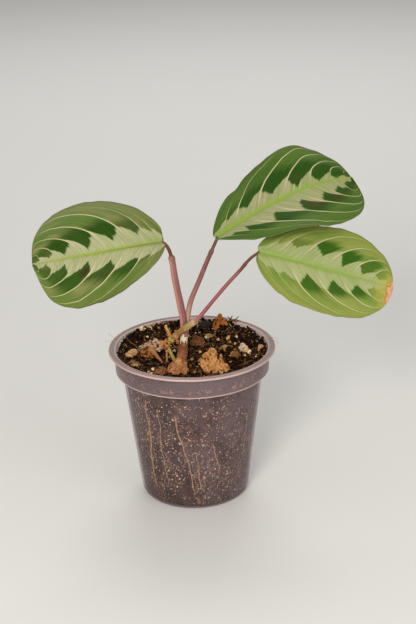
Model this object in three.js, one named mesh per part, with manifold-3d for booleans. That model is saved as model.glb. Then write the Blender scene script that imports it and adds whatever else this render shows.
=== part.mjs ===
// A potted prayer plant (maranta) in its thin see-through nursery pot: three patterned leaves on
// long petioles, a main shoot and a side shoot with dry sheaths, potting mix with roots along the
// wall, and the bark, perlite and dead leaf that lie on it.
// Millimetres, +Z up, origin at the centre of the pot's foot, -Y towards the viewer.
import * as THREE from "three";
import { mergeVertices } from "three/addons/utils/BufferGeometryUtils.js";
import Module from "manifold-3d";

const wasm = await Module();
wasm.setup();

// ---- driving dimensions -------------------------------------------------------------------

const GAP = 0.3; // clearance between pieces that touch
const ROUND_SEGMENTS = 44;

const POT = {
  height: 103,
  rimRadius: 55,
  lipInnerRadius: 50.2,
  lipThickness: 1.5,
  collarRadius: 51.2,
  collarFoot: 88, // height of the step under the collar
  collarFootRadius: 50.6,
  bodyTopRadius: 46.5,
  baseRadius: 36,
  baseRound: 5,
  wall: 0.8,
  floor: 1,
  footInner: 27.5, // the foot ring's inner radius
  padRadius: 12, // flat pad in the middle, level with the foot; the floor between is pushed up
  pushUp: 2.2,
  drainHoles: 8,
  drainRadius: 3.2,
  drainCircle: 20,
};

const MIX = { edge: 95.5, mound: 1.6, bump: 1.1, rings: 7, grains: 20, grainSeed: 41 };

// The leaf's side veins count from the base: the first FAN of them spring from the base itself.
const VEINS = 9;
const FAN = 2;
const FIRST_VEIN = 0.03; // where on the midrib the first vein past the fan leaves it
const ALTERNATE = 0.4; // how far the veins of the right half are ahead of the left half's
const ROWS_PER_VEIN = 3;
const BLADE = {
  thickness: 0.7,
  quilt: 0.55,
  keel: 1.1,
  groove: 0.35,
  midribWidth: 1.6,
  baseHalfWidth: 4.2,
  tipHalfWidth: 0.8,
  lobeEnd: 0.06, // share of the length that the lobes at the foot take
};

// Each leaf: base point, direction of its chord and roll about it in degrees, length, half widths
// of its left and right halves with the powers that shape their outlines, and how it bends.
const LEAVES = {
  leaf_left: {
    base: [-16.4, -8, 178.2],
    heading: 215,
    climb: 4,
    roll: -53,
    length: 95,
    left: { halfWidth: 31.8, rise: 0.64, fall: 0.39, fold: 0.21, wavePhase: 0 },
    right: { halfWidth: 33.5, rise: 0.45, fall: 0.52, fold: 0.27, wavePhase: 0.37 },
    sway: -2.4,
    arch: 1.8,
    skew: 1.45,
    curl: 0.48,
    twist: 2,
    lobes: 2,
    wave: 1.1,
    waveStart: -0.1,
  },
  leaf_upper: {
    base: [17.6, 0, 177.4],
    heading: 21,
    climb: 16,
    roll: 21,
    length: 99.7,
    left: { halfWidth: 34.9, rise: 0.6, fall: 0.43, fold: 0.09, wavePhase: 0 },
    right: { halfWidth: 36.3, rise: 0.58, fall: 0.3, fold: -0.02, wavePhase: 0.37 },
    sway: -1,
    arch: 10.4,
    skew: -0.26,
    curl: 0,
    twist: 32,
    lobes: 2.4,
    wave: 1.8,
    waveStart: -0.04,
  },
  leaf_lower: {
    base: [43.6, -12, 171.5],
    heading: -1,
    climb: -17,
    roll: 40,
    length: 89.7,
    left: { halfWidth: 32.4, rise: 0.53, fall: 0.42, fold: -0.04, wavePhase: 0 },
    right: { halfWidth: 33.1, rise: 0.45, fall: 0.43, fold: -0.02, wavePhase: 0.37 },
    sway: -1.1,
    arch: 3.7,
    skew: 1.12,
    curl: 0,
    twist: 3,
    lobes: 2,
    wave: 1,
    waveStart: -0.08,
  },
};

// Petioles: points on the way up to the underside of the blade, then the radius at the foot,
// under the pulvinus (the narrow joint that turns the blade), and of the pulvinus itself.
const PETIOLES = {
  leaf_left: {
    points: [
      [-4.7, -9.2, 112],
      [-4.9, -8.6, 124.5],
      [-6.4, -8, 134.1],
      [-8.3, -7.4, 145],
      [-9.9, -7, 155.1],
      [-10.9, -6.8, 164],
      [-11.8, -6.9, 168.9],
      [-13.1, -7.2, 173],
      [-15, -7.6, 176.2],
    ],
    foot: 2.5,
    top: 1.9,
    pulvinus: 1.15,
    pulvinusLength: 12,
    sides: 9,
  },
  leaf_upper: {
    points: [
      [-4.4, -8.8, 112],
      [-3.1, -7.6, 121.5],
      [-1.7, -6.8, 129.4],
      [0.3, -5.8, 137.3],
      [5.7, -3.7, 149.4],
      [11.6, -1.6, 162.9],
      [14.9, -0.6, 169.9],
    ],
    foot: 1.9,
    top: 1.35,
    pulvinus: 1.05,
    pulvinusLength: 9,
    sides: 8,
  },
  leaf_lower: {
    points: [
      [-12.4, -12.4, 113.8],
      [-7.4, -13.2, 118.4],
      [-1.5, -13.6, 122.9],
      [3.8, -13.6, 126.9],
      [14.6, -13.4, 139.7],
      [23.4, -12.8, 149.9],
      [32.1, -12.2, 159.3],
      [38.4, -12, 166.6],
    ],
    foot: 1.3,
    top: 1.1,
    pulvinus: 0.95,
    pulvinusLength: 11,
    sides: 7,
  },
};

const PETIOLE_REACH = 1; // how far its line runs on past the blade's foot
const PETIOLE_STEPS = 18;

const STEM = {
  points: [
    [-7.4, -14, 78],
    [-7.2, -13, 92],
    [-6.2, -10.6, 103],
    [-5, -9.2, 113],
    [-4.7, -8.8, 119],
  ],
  foot: 2.1,
  top: 2.6,
};
const STEM_SIDES = 10;

// The side shoot's own stalk rises from the mix to a knobbly node, where its petiole turns off.
const SIDE_STALK = {
  points: [
    [-12.4, -14.6, 80],
    [-12.2, -14, 97],
    [-13.6, -12.8, 105],
    [-12.6, -12.4, 113.4],
  ],
  foot: 0.8,
  top: 1.1,
  node: [-12.6, -12.3, 113],
  nodeRadii: [2.4, 2.1, 2.6],
};
const DEAD_BRACT = { at: [-16.6, -12.4, 110.4], radii: [3, 1.4, 3.6], turn: 10, rough: 0.3, seed: 17 };
const DEAD_STALKS = [
  {
    points: [
      [-16.2, -13.4, 90],
      [-16.4, -12.8, 99],
      [-15.9, -12.3, 108.4],
      [-13.4, -12.2, 113],
    ],
    foot: 0.6,
    top: 0.7,
  },
  {
    points: [
      [-12.8, -12.2, 112.8],
      [-14.4, -12, 117],
      [-16.6, -11.8, 122.5],
    ],
    foot: 1.1,
    top: 1.25,
  },
];

const DRY_SHEATH_MAIN = { from: 0.42, to: 0.79, wall: 0.6 };
const DRY_SHEATH_SIDE = { from: 0.03, to: 0.235, wall: 0.6 };

// What lies on the mix, half sunk in it. Lumps: centre, radii, turn about Z in degrees, roughness
// and seed. Flakes: outline in their own plane, the height of that plane's foot line, how far back
// it is, its lean from flat in degrees, and their thickness.
const LUMPS = {
  bark_front_left: { at: [-9.2, -25.5, 98.2], radii: [6.6, 5, 7.2], turn: 12, rough: 0.2, seed: 3 },
  bark_middle: { at: [4.2, 17, 97.6], radii: [4.8, 3.6, 5.4], turn: 40, rough: 0.25, seed: 6 },
  bark_right: { at: [28, -5, 96.4], radii: [3.6, 3, 3.2], turn: 15, rough: 0.25, seed: 5 },
  bark_edge_left: { at: [-38, -13.5, 96.2], radii: [4.6, 3.4, 2.6], turn: -35, rough: 0.28, seed: 14 },
  bark_front_rim: { at: [-20.6, -28, 96.4], radii: [4.6, 3.8, 3.6], turn: 20, rough: 0.25, seed: 9 },
  perlite_right: { at: [35, 5, 97.2], radii: [4.2, 3.8, 3.6], turn: 0, rough: 0.24, seed: 21 },
  perlite_edge_right: { at: [44.4, 4.6, 96.4], radii: [3, 2.6, 2], turn: 50, rough: 0.2, seed: 22 },
  perlite_left: { at: [-39.6, 3.5, 96.2], radii: [4.4, 3.4, 2.4], turn: 25, rough: 0.3, seed: 23 },
};
const FLAKES = {
  bark_front_right: {
    outline: [
      [9, -1.5],
      [17.5, -2.2],
      [22, 0],
      [24, 2.9],
      [22.7, 5.6],
      [19.9, 7],
      [19.3, 11.1],
      [18.4, 13.2],
      [17.2, 8.4],
      [16.2, 8.5],
      [15.6, 14],
      [12.6, 17.3],
      [9.2, 14],
      [5.8, 11.4],
      [3.7, 8.8],
      [5.6, 4.6],
    ],
    footHeight: 94,
    footAt: -27,
    lean: 55,
    thickness: 4.6,
  },
  bark_back: {
    outline: [
      [14, -2],
      [24.2, -2],
      [24.6, 7.1],
      [22.9, 10.3],
      [20.9, 13.9],
      [19.2, 14.4],
      [16.7, 10.9],
      [14.5, 7.7],
    ],
    footHeight: 94,
    footAt: 41,
    lean: 82,
    thickness: 2.4,
  },
};
const FLAKE_BEVEL = 0.7;

// The dead leaf that lies curled on the mix at the left, with its stalk.
const DEAD_LEAF = {
  centre: [-26.5, 5.5, 98],
  length: 17,
  halfWidth: 5.2,
  turn: -12,
  curl: 2.4,
  thickness: 0.7,
  stalk: [
    [-20.4, 3.6, 99],
    [-19.6, -1.5, 99.2],
    [-19.2, -7.5, 97.2],
  ],
  stalkRadius: 0.8,
};

// Roots against the wall: angle round the pot in degrees (-90 faces the viewer) at the top and
// the bottom of the root, and the heights there.
const ROOT_RADIUS = 0.6;
const ROOTS = [
  { from: [-124, 80], to: [-117, 9] },
  { from: [-102, 74], to: [-88, 10] },
  { from: [-91, 46], to: [-85, 12] },
  { from: [-75, 50], to: [-70, 24] },
  { from: [-30, 72], to: [-38, 14] },
  { from: [20, 76], to: [34, 12] },
  { from: [98, 66], to: [108, 9] },
  { from: [160, 74], to: [152, 16] },
];

// ---- small tools --------------------------------------------------------------------------

function seeded(seed) {
  let state = seed;
  return () => {
    state = (state + 0x6d2b79f5) | 0;
    let mixed = Math.imul(state ^ (state >>> 15), 1 | state);
    mixed = (mixed + Math.imul(mixed ^ (mixed >>> 7), 61 | mixed)) ^ mixed;
    return ((mixed ^ (mixed >>> 14)) >>> 0) / 4294967296;
  };
}

const vector = (point) => new THREE.Vector3(...point);
const curveThrough = (points) => new THREE.CatmullRomCurve3(points.map(vector));
const radians = THREE.MathUtils.degToRad;
const { lerp, clamp, smoothstep } = THREE.MathUtils;

function solidOf(geometry) {
  const bare = geometry.index ? geometry.toNonIndexed() : geometry.clone();
  for (const name of Object.keys(bare.attributes)) {
    if (name !== "position") bare.deleteAttribute(name);
  }
  const merged = mergeVertices(bare, 1e-4);
  return new wasm.Manifold(
    new wasm.Mesh({
      numProp: 3,
      vertProperties: merged.attributes.position.array,
      triVerts: new Uint32Array(merged.index.array),
    }),
  );
}

function geometryOf(solid) {
  const mesh = solid.getMesh();
  const geometry = new THREE.BufferGeometry();
  geometry.setAttribute("position", new THREE.BufferAttribute(mesh.vertProperties, 3));
  geometry.setIndex(new THREE.BufferAttribute(mesh.triVerts, 1));
  geometry.computeVertexNormals();
  return geometry;
}

// The biggest body of a solid: crumbs that a cut leaves loose are dropped.
function mainBody(solid) {
  return solid.decompose().sort((a, b) => b.volume() - a.volume())[0];
}

function cutAll(solid, tools) {
  return tools.reduce((left, tool) => left.subtract(tool), solid);
}

// Moves every vertex of a geometry to place(vertex).
function moveVertices(geometry, place) {
  const position = geometry.attributes.position;
  const point = new THREE.Vector3();
  for (let i = 0; i < position.count; i++) {
    point.fromBufferAttribute(position, i);
    place(point);
    position.setXYZ(i, point.x, point.y, point.z);
  }
  return geometry;
}

// A round bar bent along a curve, its radius given along it from 0 at the foot to 1 at the top.
function bentBar(curve, radiusAt, sides, steps, from = 0, to = 1) {
  const frames = curve.computeFrenetFrames(steps, false);
  return moveVertices(new THREE.CylinderGeometry(1, 1, 1, sides, steps), (point) => {
    const step = Math.round((point.y + 0.5) * steps);
    const along = lerp(from, to, step / steps);
    const near = frames.normals[Math.round(along * steps)];
    const tangent = curve.getTangentAt(along);
    const side = near.clone().addScaledVector(tangent, -near.dot(tangent)).normalize();
    const other = tangent.clone().cross(side);
    const radius = radiusAt(along);
    const centre = curve.getPointAt(along);
    const [across, up] = [point.x * radius, -point.z * radius];
    point.copy(centre).addScaledVector(side, across).addScaledVector(other, up);
  });
}

// A thin closed sheet: pointAt(row, column, face) with face 1 above and 0 below. Both faces are
// split along the same diagonals, so they stay apart however the sheet waves.
function sheetSolid(rows, columns, pointAt) {
  const positions = [];
  for (const face of [1, 0]) {
    for (let row = 0; row <= rows; row++) {
      for (let column = 0; column <= columns; column++) {
        positions.push(...pointAt(row, column, face).toArray());
      }
    }
  }
  const wide = columns + 1;
  const layer = (rows + 1) * wide;
  const index = [];
  for (let row = 0; row < rows; row++) {
    for (let column = 0; column < columns; column++) {
      const a = row * wide + column;
      const [b, c, d] = [a + 1, a + wide + 1, a + wide];
      index.push(a, b, c, a, c, d);
      index.push(layer + a, layer + c, layer + b, layer + a, layer + d, layer + c);
    }
  }
  const edge = [];
  for (let column = 0; column < columns; column++) edge.push(column);
  for (let row = 0; row < rows; row++) edge.push(row * wide + columns);
  for (let column = columns; column > 0; column--) edge.push(rows * wide + column);
  for (let row = rows; row > 0; row--) edge.push(row * wide);
  edge.forEach((a, i) => {
    const b = edge[(i + 1) % edge.length];
    index.push(a, layer + a, layer + b, a, layer + b, b);
  });
  const geometry = new THREE.BufferGeometry();
  geometry.setAttribute("position", new THREE.Float32BufferAttribute(positions, 3));
  geometry.setIndex(index);
  return geometry;
}

// ---- pot ----------------------------------------------------------------------------------

// Outer radius of the tapered body at a height.
function bodyRadius(height) {
  const share = (height - POT.baseRound) / (POT.collarFoot - POT.baseRound);
  return lerp(POT.baseRadius, POT.bodyTopRadius, share);
}

function potProfile() {
  const { wall, baseRound, collarFoot, rimRadius, height, lipThickness } = POT;
  const { footInner, padRadius, pushUp, floor } = POT;
  const lipUnder = height - lipThickness;
  const cornerRadius = POT.baseRadius - baseRound;
  const path = new THREE.Path();
  path.moveTo(0, 0);
  path.lineTo(padRadius, 0);
  path.lineTo(padRadius + pushUp, pushUp);
  path.lineTo(footInner - pushUp, pushUp);
  path.lineTo(footInner, 0);
  path.lineTo(cornerRadius, 0);
  path.quadraticCurveTo(POT.baseRadius - 0.6, 0, POT.baseRadius, baseRound);
  path.lineTo(POT.bodyTopRadius, collarFoot - 0.4);
  path.lineTo(POT.collarFootRadius - 0.5, collarFoot - 0.4);
  path.quadraticCurveTo(POT.collarFootRadius, collarFoot - 0.4, POT.collarFootRadius, collarFoot + 0.6);
  path.lineTo(POT.collarRadius, lipUnder);
  path.lineTo(rimRadius - 0.8, lipUnder - 0.4);
  path.quadraticCurveTo(rimRadius + 0.3, lipUnder + 0.2, rimRadius - 0.5, height - 0.3);
  path.quadraticCurveTo(rimRadius - 1.5, height + 0.1, POT.lipInnerRadius + 0.6, height - 0.2);
  path.lineTo(POT.lipInnerRadius, height - 0.9);
  path.lineTo(POT.collarFootRadius - wall, collarFoot + 0.9);
  path.lineTo(POT.collarFootRadius - wall - 0.6, collarFoot + 0.4);
  path.lineTo(POT.bodyTopRadius - wall, collarFoot + 0.2);
  path.lineTo(POT.baseRadius - wall, baseRound);
  path.quadraticCurveTo(POT.baseRadius - 1.2, floor, cornerRadius, floor);
  path.lineTo(footInner + 0.4, floor);
  path.lineTo(footInner - pushUp + 0.4, pushUp + floor);
  path.lineTo(padRadius + pushUp - 0.4, pushUp + floor);
  path.lineTo(padRadius - 0.4, floor);
  path.lineTo(0, floor);
  return path.getPoints(2);
}

function latheUp(points) {
  return new THREE.LatheGeometry(points, ROUND_SEGMENTS).rotateX(Math.PI / 2);
}

function drainHoles() {
  const holes = [];
  for (let i = 0; i < POT.drainHoles; i++) {
    const angle = (2 * Math.PI * i) / POT.drainHoles;
    const hole = new THREE.CylinderGeometry(POT.drainRadius, POT.drainRadius, 12, 12);
    hole.rotateX(Math.PI / 2);
    hole.translate(POT.drainCircle * Math.cos(angle), POT.drainCircle * Math.sin(angle), 0);
    holes.push(solidOf(hole));
  }
  return holes;
}

function makePot() {
  return cutAll(solidOf(latheUp(potProfile())), drainHoles());
}

// ---- leaves -------------------------------------------------------------------------------

// The leaf's own directions: along its chord, to its left, and up from its face.
function leafFrame(leaf) {
  const heading = radians(leaf.heading);
  const climb = radians(leaf.climb);
  const along = new THREE.Vector3(
    Math.cos(climb) * Math.cos(heading),
    Math.cos(climb) * Math.sin(heading),
    Math.sin(climb),
  );
  const left = new THREE.Vector3(0, 0, 1).cross(along).normalize();
  left.applyAxisAngle(along, radians(leaf.roll));
  return { along, left, up: along.clone().cross(left) };
}

// How far forward, as a share of the length, a vein that leaves the midrib at start has run by
// the time that it is reach of the way to the margin.
function veinSweep(start, reach) {
  const pace = 0.3 + 0.65 * start;
  return (1 - start) * (pace * reach + 0.15 * (1 - start) * reach ** 4);
}

// Place along the chord, 0 to 1, of the point that is reach of the way out on vein number vein.
function veinPlace(vein, reach) {
  if (vein < FAN) return (vein / FAN) * (FIRST_VEIN + veinSweep(FIRST_VEIN, reach));
  const turn = (Math.PI / 2) * ((vein - FAN) / (VEINS - FAN));
  const start = FIRST_VEIN + (1 - FIRST_VEIN) * Math.sin(turn) ** 1.3;
  return start + veinSweep(start, reach);
}

function halfWidthAt(half, place) {
  const { rise, fall, halfWidth } = half;
  const widest = rise / (rise + fall);
  const peak = widest ** rise * (1 - widest) ** fall;
  const inside = clamp(place, 0, 1);
  const width = (halfWidth * inside ** rise * (1 - inside) ** fall) / peak;
  return Math.max(width, lerp(BLADE.baseHalfWidth, BLADE.tipHalfWidth, inside));
}

// A point of the blade: vein counts veins from the base, across runs from -1 to 1, and face is 1
// on the upper face and 0 on the lower one. grow makes the blade bigger all round.
function bladePoint(leaf, vein, across, face, grow) {
  const half = across >= 0 ? leaf.left : leaf.right;
  const reach = Math.abs(across);
  const place = veinPlace(vein, reach);
  const out = reach * (halfWidthAt(half, place) + grow);
  const hump = 4 * place * (1 - place) * (1 + leaf.skew * (1 - 2 * place));
  const phase = vein + (across < 0 ? ALTERNATE : 0);
  const quilt = BLADE.quilt * Math.abs(Math.sin(Math.PI * phase)) * Math.sin(Math.PI * reach);
  const nearMidrib = Math.exp(-((out / BLADE.midribWidth) ** 2)) * (1 - place);
  const waving = Math.sin(2 * Math.PI * (2 * place + leaf.waveStart + half.wavePhase));
  let height = half.fold * out - (leaf.curl * out * out) / 30 + leaf.wave * reach ** 3 * waving;
  height += quilt * smoothstep(place, 0, 0.1) - BLADE.groove * nearMidrib;
  height += face ? grow : -grow - BLADE.thickness - BLADE.keel * nearMidrib;
  const turn = radians(leaf.twist) * (place - 0.5);
  const side = Math.sign(across) * out;
  const sideways = side * Math.cos(turn) - height * Math.sin(turn) + leaf.sway * hump;
  const upwards = side * Math.sin(turn) + height * Math.cos(turn) + leaf.arch * hump;
  const lobe = leaf.lobes * Math.sin(0.75 * Math.PI * reach) * Math.exp(-place / BLADE.lobeEnd);
  const frame = leafFrame(leaf);
  return vector(leaf.base)
    .addScaledVector(frame.along, leaf.length * place - lobe - (vein ? 0 : grow))
    .addScaledVector(frame.left, sideways)
    .addScaledVector(frame.up, upwards);
}

const BLADE_COLUMNS = [0, 0.06, 0.2, 0.36, 0.52, 0.68, 0.84, 1];

function makeBlade(leaf, grow = 0) {
  const columns = [...BLADE_COLUMNS.slice(1).reverse().map((share) => -share), ...BLADE_COLUMNS];
  const rows = VEINS * ROWS_PER_VEIN;
  return sheetSolid(rows, columns.length - 1, (row, column, face) =>
    bladePoint(leaf, row / ROWS_PER_VEIN, columns[columns.length - 1 - column], face, grow),
  );
}

// ---- shoots -------------------------------------------------------------------------------

// The petiole's line: its own points, then on into the foot of its blade.
function petioleCurve(name) {
  const { along } = leafFrame(LEAVES[name]);
  const points = PETIOLES[name].points.map(vector);
  points.push(vector(LEAVES[name].base).addScaledVector(along, PETIOLE_REACH));
  return new THREE.CatmullRomCurve3(points);
}

function petioleRadius(petiole, length) {
  return (along) => {
    const left = (1 - along) * length;
    const stalk = lerp(petiole.foot, petiole.top, along);
    const narrowing = smoothstep(left, petiole.pulvinusLength - 1.5, petiole.pulvinusLength + 2);
    return lerp(petiole.pulvinus, stalk, narrowing);
  };
}

// The petiole is cut off just under its blade.
function makePetiole(name) {
  const petiole = PETIOLES[name];
  const curve = petioleCurve(name);
  const radiusAt = petioleRadius(petiole, curve.getLength());
  const whole = solidOf(bentBar(curve, radiusAt, petiole.sides, PETIOLE_STEPS));
  return mainBody(whole.subtract(solidOf(makeBlade(LEAVES[name], GAP))));
}

function makeStalk(stalk, sides, steps, grow = 0) {
  const radiusAt = (along) => lerp(stalk.foot, stalk.top, along) + grow;
  return solidOf(bentBar(curveThrough(stalk.points), radiusAt, sides, steps));
}

function makeMainShoot() {
  return makeStalk(STEM, STEM_SIDES, 6).add(makePetiole("leaf_left")).add(makePetiole("leaf_upper"));
}

function makeSideShoot() {
  const { node: at, nodeRadii: radii } = SIDE_STALK;
  const node = lump({ at, radii, turn: 0, rough: 0.15, seed: 31 });
  return DEAD_STALKS.reduce(
    (shoot, stalk) => shoot.add(makeStalk(stalk, 6, 5)),
    makeStalk(SIDE_STALK, 7, 7).add(node).add(lump(DEAD_BRACT)).add(makePetiole("leaf_lower")),
  );
}

// A dry sheath: a thin sleeve round a stretch of a stem or petiole.
function makeSleeve(curve, radiusAt, { from, to, wall }, sides) {
  const outer = solidOf(bentBar(curve, (s) => radiusAt(s) + GAP + wall, sides, 5, from, to));
  const inner = solidOf(bentBar(curve, (s) => radiusAt(s) + GAP, sides, 5, from - 0.02, to + 0.02));
  return outer.subtract(inner);
}

function makeMainSheath() {
  const radiusAt = (along) => lerp(STEM.foot, STEM.top, along);
  return makeSleeve(curveThrough(STEM.points), radiusAt, DRY_SHEATH_MAIN, STEM_SIDES);
}

// The hole in the mix round the foot of the main sheath.
function makeMainSheathHole() {
  const { from, to, wall } = DRY_SHEATH_MAIN;
  const radiusAt = (along) => lerp(STEM.foot, STEM.top, along) + 2 * GAP + wall;
  return solidOf(bentBar(curveThrough(STEM.points), radiusAt, STEM_SIDES, 5, from - 0.01, to));
}

function makeSideSheath() {
  const curve = petioleCurve("leaf_lower");
  const radiusAt = petioleRadius(PETIOLES.leaf_lower, curve.getLength());
  return makeSleeve(curve, radiusAt, DRY_SHEATH_SIDE, 8);
}

// ---- what lies on the mix -----------------------------------------------------------------

// Smooth, even noise of about -1 to 1 from a few crossing waves, different for each seed.
function waves(point, seed, pace) {
  let sum = 0;
  for (let i = 1; i <= 3; i++) {
    const turn = seed * 1.7 + i * 2.4;
    sum += Math.sin(pace * i * (point.x * Math.cos(turn) + point.y * Math.sin(turn)) + seed * i);
    sum += Math.sin(pace * i * (point.z * Math.cos(turn) - point.x * Math.sin(turn)) + turn);
  }
  return sum / 4;
}

// An uneven lump; grow makes the pocket that it sits in.
function lump({ at, radii, turn, rough, seed, detail = Math.max(...radii) > 6 ? 2 : 1 }, grow = 0) {
  const geometry = moveVertices(new THREE.IcosahedronGeometry(1, detail), (point) => {
    const swell = 1 + rough * waves(point, seed, 1.9);
    point.multiplyScalar(swell);
    const length = point.length();
    point.set(point.x * radii[0], point.y * radii[1], point.z * radii[2]);
    point.addScaledVector(point.clone().normalize(), grow * (1 + rough / length));
  });
  geometry.rotateZ(radians(turn)).translate(...at);
  return solidOf(geometry);
}

// A broken flake: its outline, thick and with rounded edges, leaning on the mix.
function flake({ outline, footHeight, footAt, lean, thickness }, grow = 0) {
  const shape = new THREE.Shape(outline.map(([x, up]) => new THREE.Vector2(x, up)));
  const geometry = new THREE.ExtrudeGeometry(shape, {
    depth: thickness - 2 * FLAKE_BEVEL,
    bevelThickness: FLAKE_BEVEL + grow,
    bevelSize: FLAKE_BEVEL,
    bevelOffset: grow - FLAKE_BEVEL,
    bevelSegments: 1,
  });
  geometry.rotateX(radians(lean)).translate(0, footAt, footHeight);
  return solidOf(geometry);
}

function makeDeadLeaf(grow = 0) {
  const { centre, length, halfWidth, curl, thickness } = DEAD_LEAF;
  const turned = new THREE.Matrix4().makeRotationZ(radians(DEAD_LEAF.turn)).setPosition(...centre);
  const [rows, columns] = [6, 4];
  const blade = sheetSolid(rows, columns, (row, column, face) => {
    const along = row / rows;
    const across = 1 - (2 * column) / columns;
    const width = (halfWidth + grow) * Math.sin(Math.PI * (0.08 + 0.84 * along)) ** 0.7;
    const crumple = 0.9 * Math.sin(7 * along + 4 * across) + 0.5 * Math.sin(11 * across);
    const height = curl * across * across + crumple + (face ? grow : -thickness - grow);
    const point = new THREE.Vector3((along - 0.5) * (length + 2 * grow), across * width, height);
    return point.applyMatrix4(turned);
  });
  const radiusAt = (along) => DEAD_LEAF.stalkRadius * (1 - 0.4 * along) + grow;
  return solidOf(blade).add(solidOf(bentBar(curveThrough(DEAD_LEAF.stalk), radiusAt, 6, 6)));
}

// ---- mix and roots ------------------------------------------------------------------------

// Height of the mix's surface.
function soilHeight(x, y) {
  const out = Math.hypot(x, y) / POT.collarFootRadius;
  const rolling = waves(new THREE.Vector3(x, y, 0), 4, 0.16);
  const crumbs = waves(new THREE.Vector3(x, y, 0), 9, 0.62);
  return MIX.edge + MIX.mound * (1 - out * out) + MIX.bump * (0.6 * rolling + 0.5 * crumbs);
}

function soilBlock() {
  const side = POT.wall + GAP;
  const step = POT.collarFoot + 0.2 + GAP;
  const path = new THREE.Path();
  const floor = POT.floor + GAP;
  path.moveTo(0, floor);
  path.lineTo(POT.padRadius - 0.6, floor);
  path.lineTo(POT.padRadius + POT.pushUp - 0.6, POT.pushUp + floor);
  path.lineTo(POT.footInner - POT.pushUp + 0.6, POT.pushUp + floor);
  path.lineTo(POT.footInner + 0.6, floor);
  path.lineTo(POT.baseRadius - POT.baseRound - 0.2, floor);
  path.quadraticCurveTo(POT.baseRadius - 1.6, floor, POT.baseRadius - side - 0.1, POT.baseRound + 0.2);
  path.lineTo(POT.bodyTopRadius - side, step);
  path.lineTo(POT.collarFootRadius - side - 1, step + 0.5);
  path.lineTo(POT.collarFootRadius - side - 0.2, step + 1.4);
  const rim = POT.collarFootRadius - side;
  for (let ring = 0; ring <= MIX.rings; ring++) {
    path.lineTo(rim * (1 - ring / MIX.rings), MIX.edge);
  }
  const block = latheUp(path.getPoints(2));
  return moveVertices(block, (point) => {
    if (point.z > MIX.edge - 0.01) point.z = soilHeight(point.x, point.y);
  });
}

// Perlite and crumbs half sunk in the surface, evenly spread by the golden angle.
function surfaceGrains() {
  const random = seeded(MIX.grainSeed);
  const grains = [];
  for (let i = 0; i < MIX.grains; i++) {
    const angle = i * 2.39996 + random();
    const out = 46 * Math.sqrt((i + 0.6) / MIX.grains);
    const [x, y] = [out * Math.cos(angle), out * Math.sin(angle)];
    const size = lerp(0.9, 1.9, random());
    const at = [x, y, soilHeight(x, y) + 0.25 * size];
    const radii = [size, size * 0.85, size * 0.8];
    grains.push(lump({ at, radii, turn: 60 * i, rough: 0.15, detail: 0, seed: i }));
  }
  return grains;
}

function rootCurve({ from, to }, wander) {
  const points = [];
  const steps = 6;
  for (let i = 0; i <= steps; i++) {
    const share = i / steps;
    const height = lerp(from[1], to[1], share);
    const sway = 1.6 * Math.sin(5 * share + wander) + 0.8 * Math.sin(11 * share + 2 * wander);
    const angle = radians(lerp(from[0], to[0], share) + sway);
    const bury = 2.4 * (Math.abs(2 * share - 1) ** 8); // both ends turn into the mix
    const radius = bodyRadius(height) - POT.wall - GAP - ROOT_RADIUS - 0.1 - bury;
    points.push([radius * Math.cos(angle), radius * Math.sin(angle), height]);
  }
  return curveThrough(points);
}

function makeRoot(root, wander, grow = 0) {
  const radiusAt = (along) => ROOT_RADIUS * (1 - 0.35 * along) + grow;
  const curve = rootCurve(root, wander);
  const overrun = grow ? 0.004 : 0.012; // the groove is a little longer than its root
  return solidOf(bentBar(curve, radiusAt, 5, 10, overrun, 1 - overrun));
}

// ---- assembly -----------------------------------------------------------------------------

const COLOURS = {
  pot: { color: 0x8f8389, roughness: 0.35, transparent: true, opacity: 0.5 },
  mix: { color: 0x20150f, roughness: 0.95 },
  blade: { color: 0x5f8a34, roughness: 0.45 },
  petiole: { color: 0xa8666c, roughness: 0.5 },
  node: { color: 0x9a8a45, roughness: 0.6 },
  dry: { color: 0x9c6a3c, roughness: 0.85 },
  bark: { color: 0xb87c46, roughness: 0.9 },
  perlite: { color: 0xd9cdbb, roughness: 0.9 },
  root: { color: 0xa98a5a, roughness: 0.8 },
};

const plant = new THREE.Group();

function add(name, shape, colour) {
  const geometry = shape.isBufferGeometry ? shape : geometryOf(shape);
  const material = new THREE.MeshStandardMaterial({ ...COLOURS[colour], metalness: 0 });
  const mesh = new THREE.Mesh(geometry, material);
  mesh.name = name;
  plant.add(mesh);
}

add("pot", makePot(), "pot");
for (const name of Object.keys(LEAVES)) add(name, makeBlade(LEAVES[name]), "blade");
add("shoot_main", makeMainShoot(), "petiole");
add("shoot_side", makeSideShoot(), "node");
add("sheath_main_dry", makeMainSheath(), "dry");
add("sheath_side_dry", makeSideSheath(), "dry");
add("dead_leaf", makeDeadLeaf(), "dry");
for (const name of Object.keys(LUMPS)) {
  add(name, lump(LUMPS[name]), name.startsWith("perlite") ? "perlite" : "bark");
}
for (const name of Object.keys(FLAKES)) add(name, flake(FLAKES[name]), "bark");
ROOTS.forEach((root, i) => add(`root_${i + 1}`, makeRoot(root, i), "root"));

const pockets = [
  ...Object.values(LUMPS).map((piece) => lump(piece, GAP)),
  ...Object.values(FLAKES).map((piece) => flake(piece, GAP)),
  makeDeadLeaf(GAP),
  makeStalk(STEM, STEM_SIDES, 6, GAP),
  makeMainSheathHole(),
  makeStalk(SIDE_STALK, 7, 7, GAP),
  makeStalk(DEAD_STALKS[0], 6, 5, GAP),
  ...ROOTS.map((root, i) => makeRoot(root, i, GAP)),
];
const rough = surfaceGrains().reduce((mix, grain) => mix.add(grain), solidOf(soilBlock()));
add("potting_mix", mainBody(cutAll(rough, pockets)), "mix");

export default plant;
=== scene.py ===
"""Potted prayer plant: patterned blades, petioles, mix, bark and a thin see-through pot."""

import math
from types import SimpleNamespace as Sizes

import bpy
import numpy as np
from bpy.props import FloatProperty, FloatVectorProperty, IntProperty, PointerProperty
from mathutils import Matrix, Vector, noise


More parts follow.
